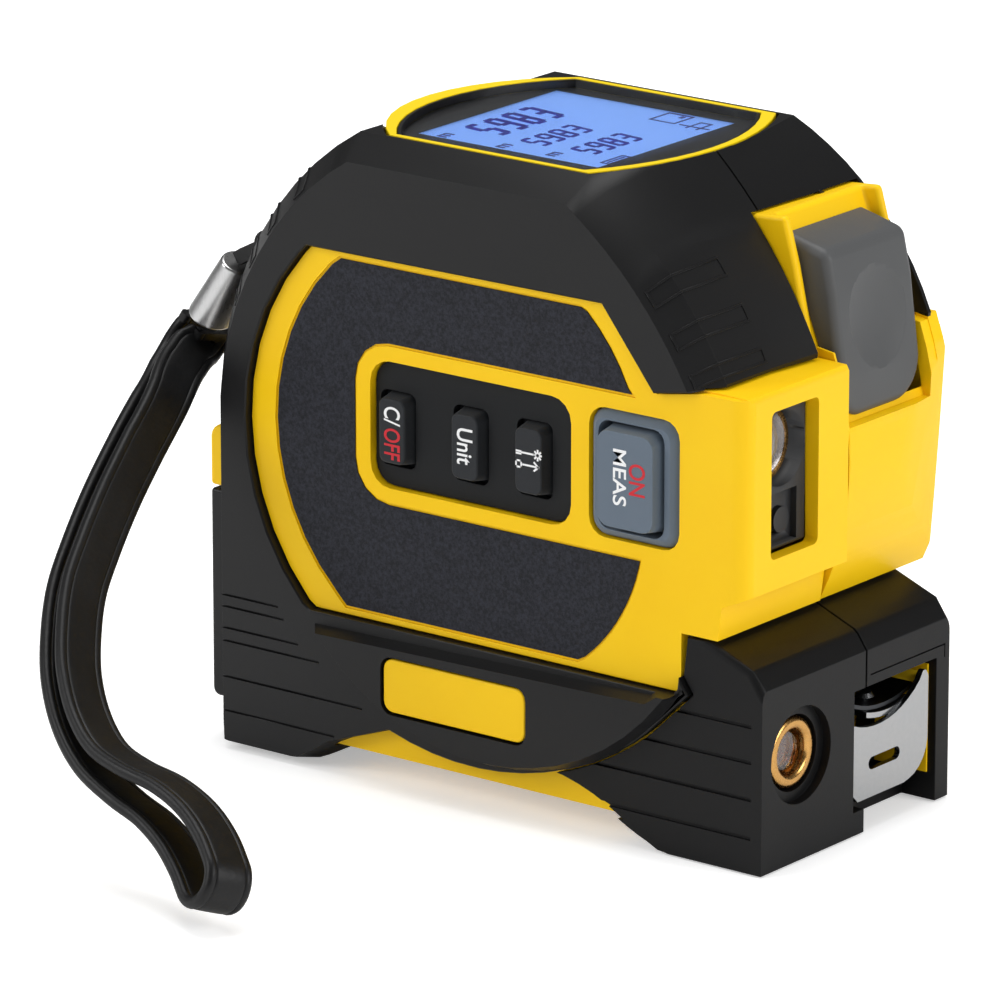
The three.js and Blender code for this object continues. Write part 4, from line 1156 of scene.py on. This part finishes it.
eye = round_bar("receiver_glass", (EYE["front"] - 1.5, EYE["y"], EYE["z"]), EYE["radius"], 3, "X", 64)
bpy.ops.object.select_all(action="DESELECT")
bpy.ops.mesh.primitive_uv_sphere_add(
    segments=96, ring_count=64, radius=7.5 * MM, location=at(EYE["front"] - 7.5, EYE["y"], EYE["z"])
)
cut(eye, settle("eye_ball"), operation="INTERSECT")
soften(eye, 0, smooth=30)
dress(eye, lens_glass, "case", ["receiver_lens"])
bowl = round_bar("receiver_bowl", (EYE["front"] - 2.8, EYE["y"], EYE["z"]), EYE["radius"] + 0.4, 0.4, "X", 64)
edit(bowl, "FACE", lambda face: face.normal.x > 0.9)
bpy.ops.mesh.inset(thickness=1.2 * MM)
bpy.ops.transform.translate(value=(-0.25 * MM, 0, 0))
leave_edit()
soften(bowl, 0.05, 1)
dress(bowl, nickel_steel, "case")
ring = round_bar("receiver_ring", (EYE["front"] - 1.6, EYE["y"], EYE["z"]), EYE["radius"] + 0.5, 1, "X", 64)
cut(ring, round_bar("ring_bore", (EYE["front"], EYE["y"], EYE["z"]), EYE["radius"] - 0.1, 9, "X", 64))
soften(ring, 0.12, 2)
dress(ring, turned_brass, "case")

# ---- Screws with a cross recess ----
for node in ("case_screw_1", "case_screw_2", "case_screw_3", "belt_clip_screw"):
    screw = copy_of(node, f"crossed_{node}")
    soften(screw, 0.15, 2)
    x, z = ((a + b) / 2 for a, b in ((low(node).x, high(node).x), (low(node).z, high(node).z)))
    face = high(node).y
    cut(
        screw,
        block("slot_along", (x - 1.4, face - 0.6, z - 0.3), (x + 1.4, face + 1, z + 0.3)),
        block("slot_up", (x - 0.3, face - 0.6, z - 1.4), (x + 0.3, face + 1, z + 1.4)),
    )
    soften(screw, 0)
    dress(screw, zinc_screw, "case", [node])

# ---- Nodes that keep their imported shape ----
KEPT = {
    "blade": blade_lacquer,
    "blade_coil": blade_lacquer,
    "hook_rivet_1": nickel_steel,
    "hook_rivet_2": nickel_steel,
    # The emitter takes the dark inner plastic as painted shade, so that its bore reads dark.
    "emitter": inner_abs,
    "lcd_module": display_blue,
    "main_board": board_laminate,
    "buzzer": inner_abs,
    "switch_clear_off": grey_abs,
    "switch_unit": grey_abs,
    "switch_mode": grey_abs,
    "measure_switch": grey_abs,
    "lock_stem": grey_abs,
    "brake_pad": mat_silicone,
    "partition": inner_abs,
    "reel_axle": grey_abs,
    "reel": inner_abs,
    "power_spring": spring_steel,
    "battery_cell": cell_wrap,
    "battery_contact_1": turned_brass,
    "battery_contact_2": turned_brass,
    "strap_pin": nickel_steel,
}
for node, finish in KEPT.items():
    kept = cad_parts[node]
    kept.data.materials.clear()
    kept.data.materials.append(finish)

# ---- Studio ----
bpy.ops.object.select_all(action="DESELECT")
bpy.ops.mesh.primitive_plane_add(size=6, location=(0, 0, -0.0002))
floor = settle("studio_floor")
floor_finish, floor_tree, floor_shader, floor_place = new_finish("matt_white_paper", Roughness=0.9)
floor_fibre = noise(floor_tree, floor_place, 40, 2)
feed(floor_tree, floor_shader, Base_Color=blend(floor_tree, floor_fibre, "#f6f6f6", "#fbfbfb"))
floor_ray = add_node(floor_tree, "ShaderNodeLightPath")
floor_glow = add_node(
    floor_tree,
    "ShaderNodeMath",
    {"operation": "MULTIPLY"},
    {1: 0.4},
    {0: floor_ray.outputs["Is Camera Ray"]},
)
floor_shader.inputs["Emission Color"].default_value = (1, 1, 1, 1)
feed(floor_tree, floor_shader, Emission_Strength=floor_glow.outputs["Value"])
floor.data.materials.append(floor_finish)

world = bpy.data.worlds.new("studio_air")
bpy.context.scene.world = world
world.use_nodes = True
air = world.node_tree
background = air.nodes["Background"]
ray = add_node(air, "ShaderNodeLightPath")
# Plain light all round, dimmer in reflections so that black plastic stays black, and white behind the tool.
seen = add_node(
    air,
    "ShaderNodeMix",
    {"data_type": "FLOAT"},
    {"B": 1.0},
    {"Factor": ray.outputs["Is Camera Ray"], "A": between(air, ray.outputs["Is Glossy Ray"], 0.42, 0.12)},
)
background.inputs["Color"].default_value = (1, 1, 1, 1)
air.links.new(seen.outputs["Result"], background.inputs["Strength"])


def soft_lamp(name, place, aim, size, power):
    """A square softbox at a place, turned towards another."""
    data = bpy.data.lights.new(name, "AREA")
    data.shape = "SQUARE"
    data.size = size
    data.energy = power
    lamp = bpy.data.objects.new(name, data)
    bpy.context.scene.collection.objects.link(lamp)
    lamp.location = place
    lamp.rotation_mode = "QUATERNION"
    lamp.rotation_quaternion = (Vector(aim) - Vector(place)).to_track_quat("-Z", "Y")


soft_lamp("overhead_softbox", (-0.15, 0.1, 1.2), (0, 0, 0.03), 0.8, 8.4)
soft_lamp("left_softbox", (-0.75, -0.85, 0.6), (0, 0, 0.04), 0.6, 6)
soft_lamp("right_softbox", (1.05, 0.15, 0.5), (0, 0, 0.04), 0.6, 5.6)
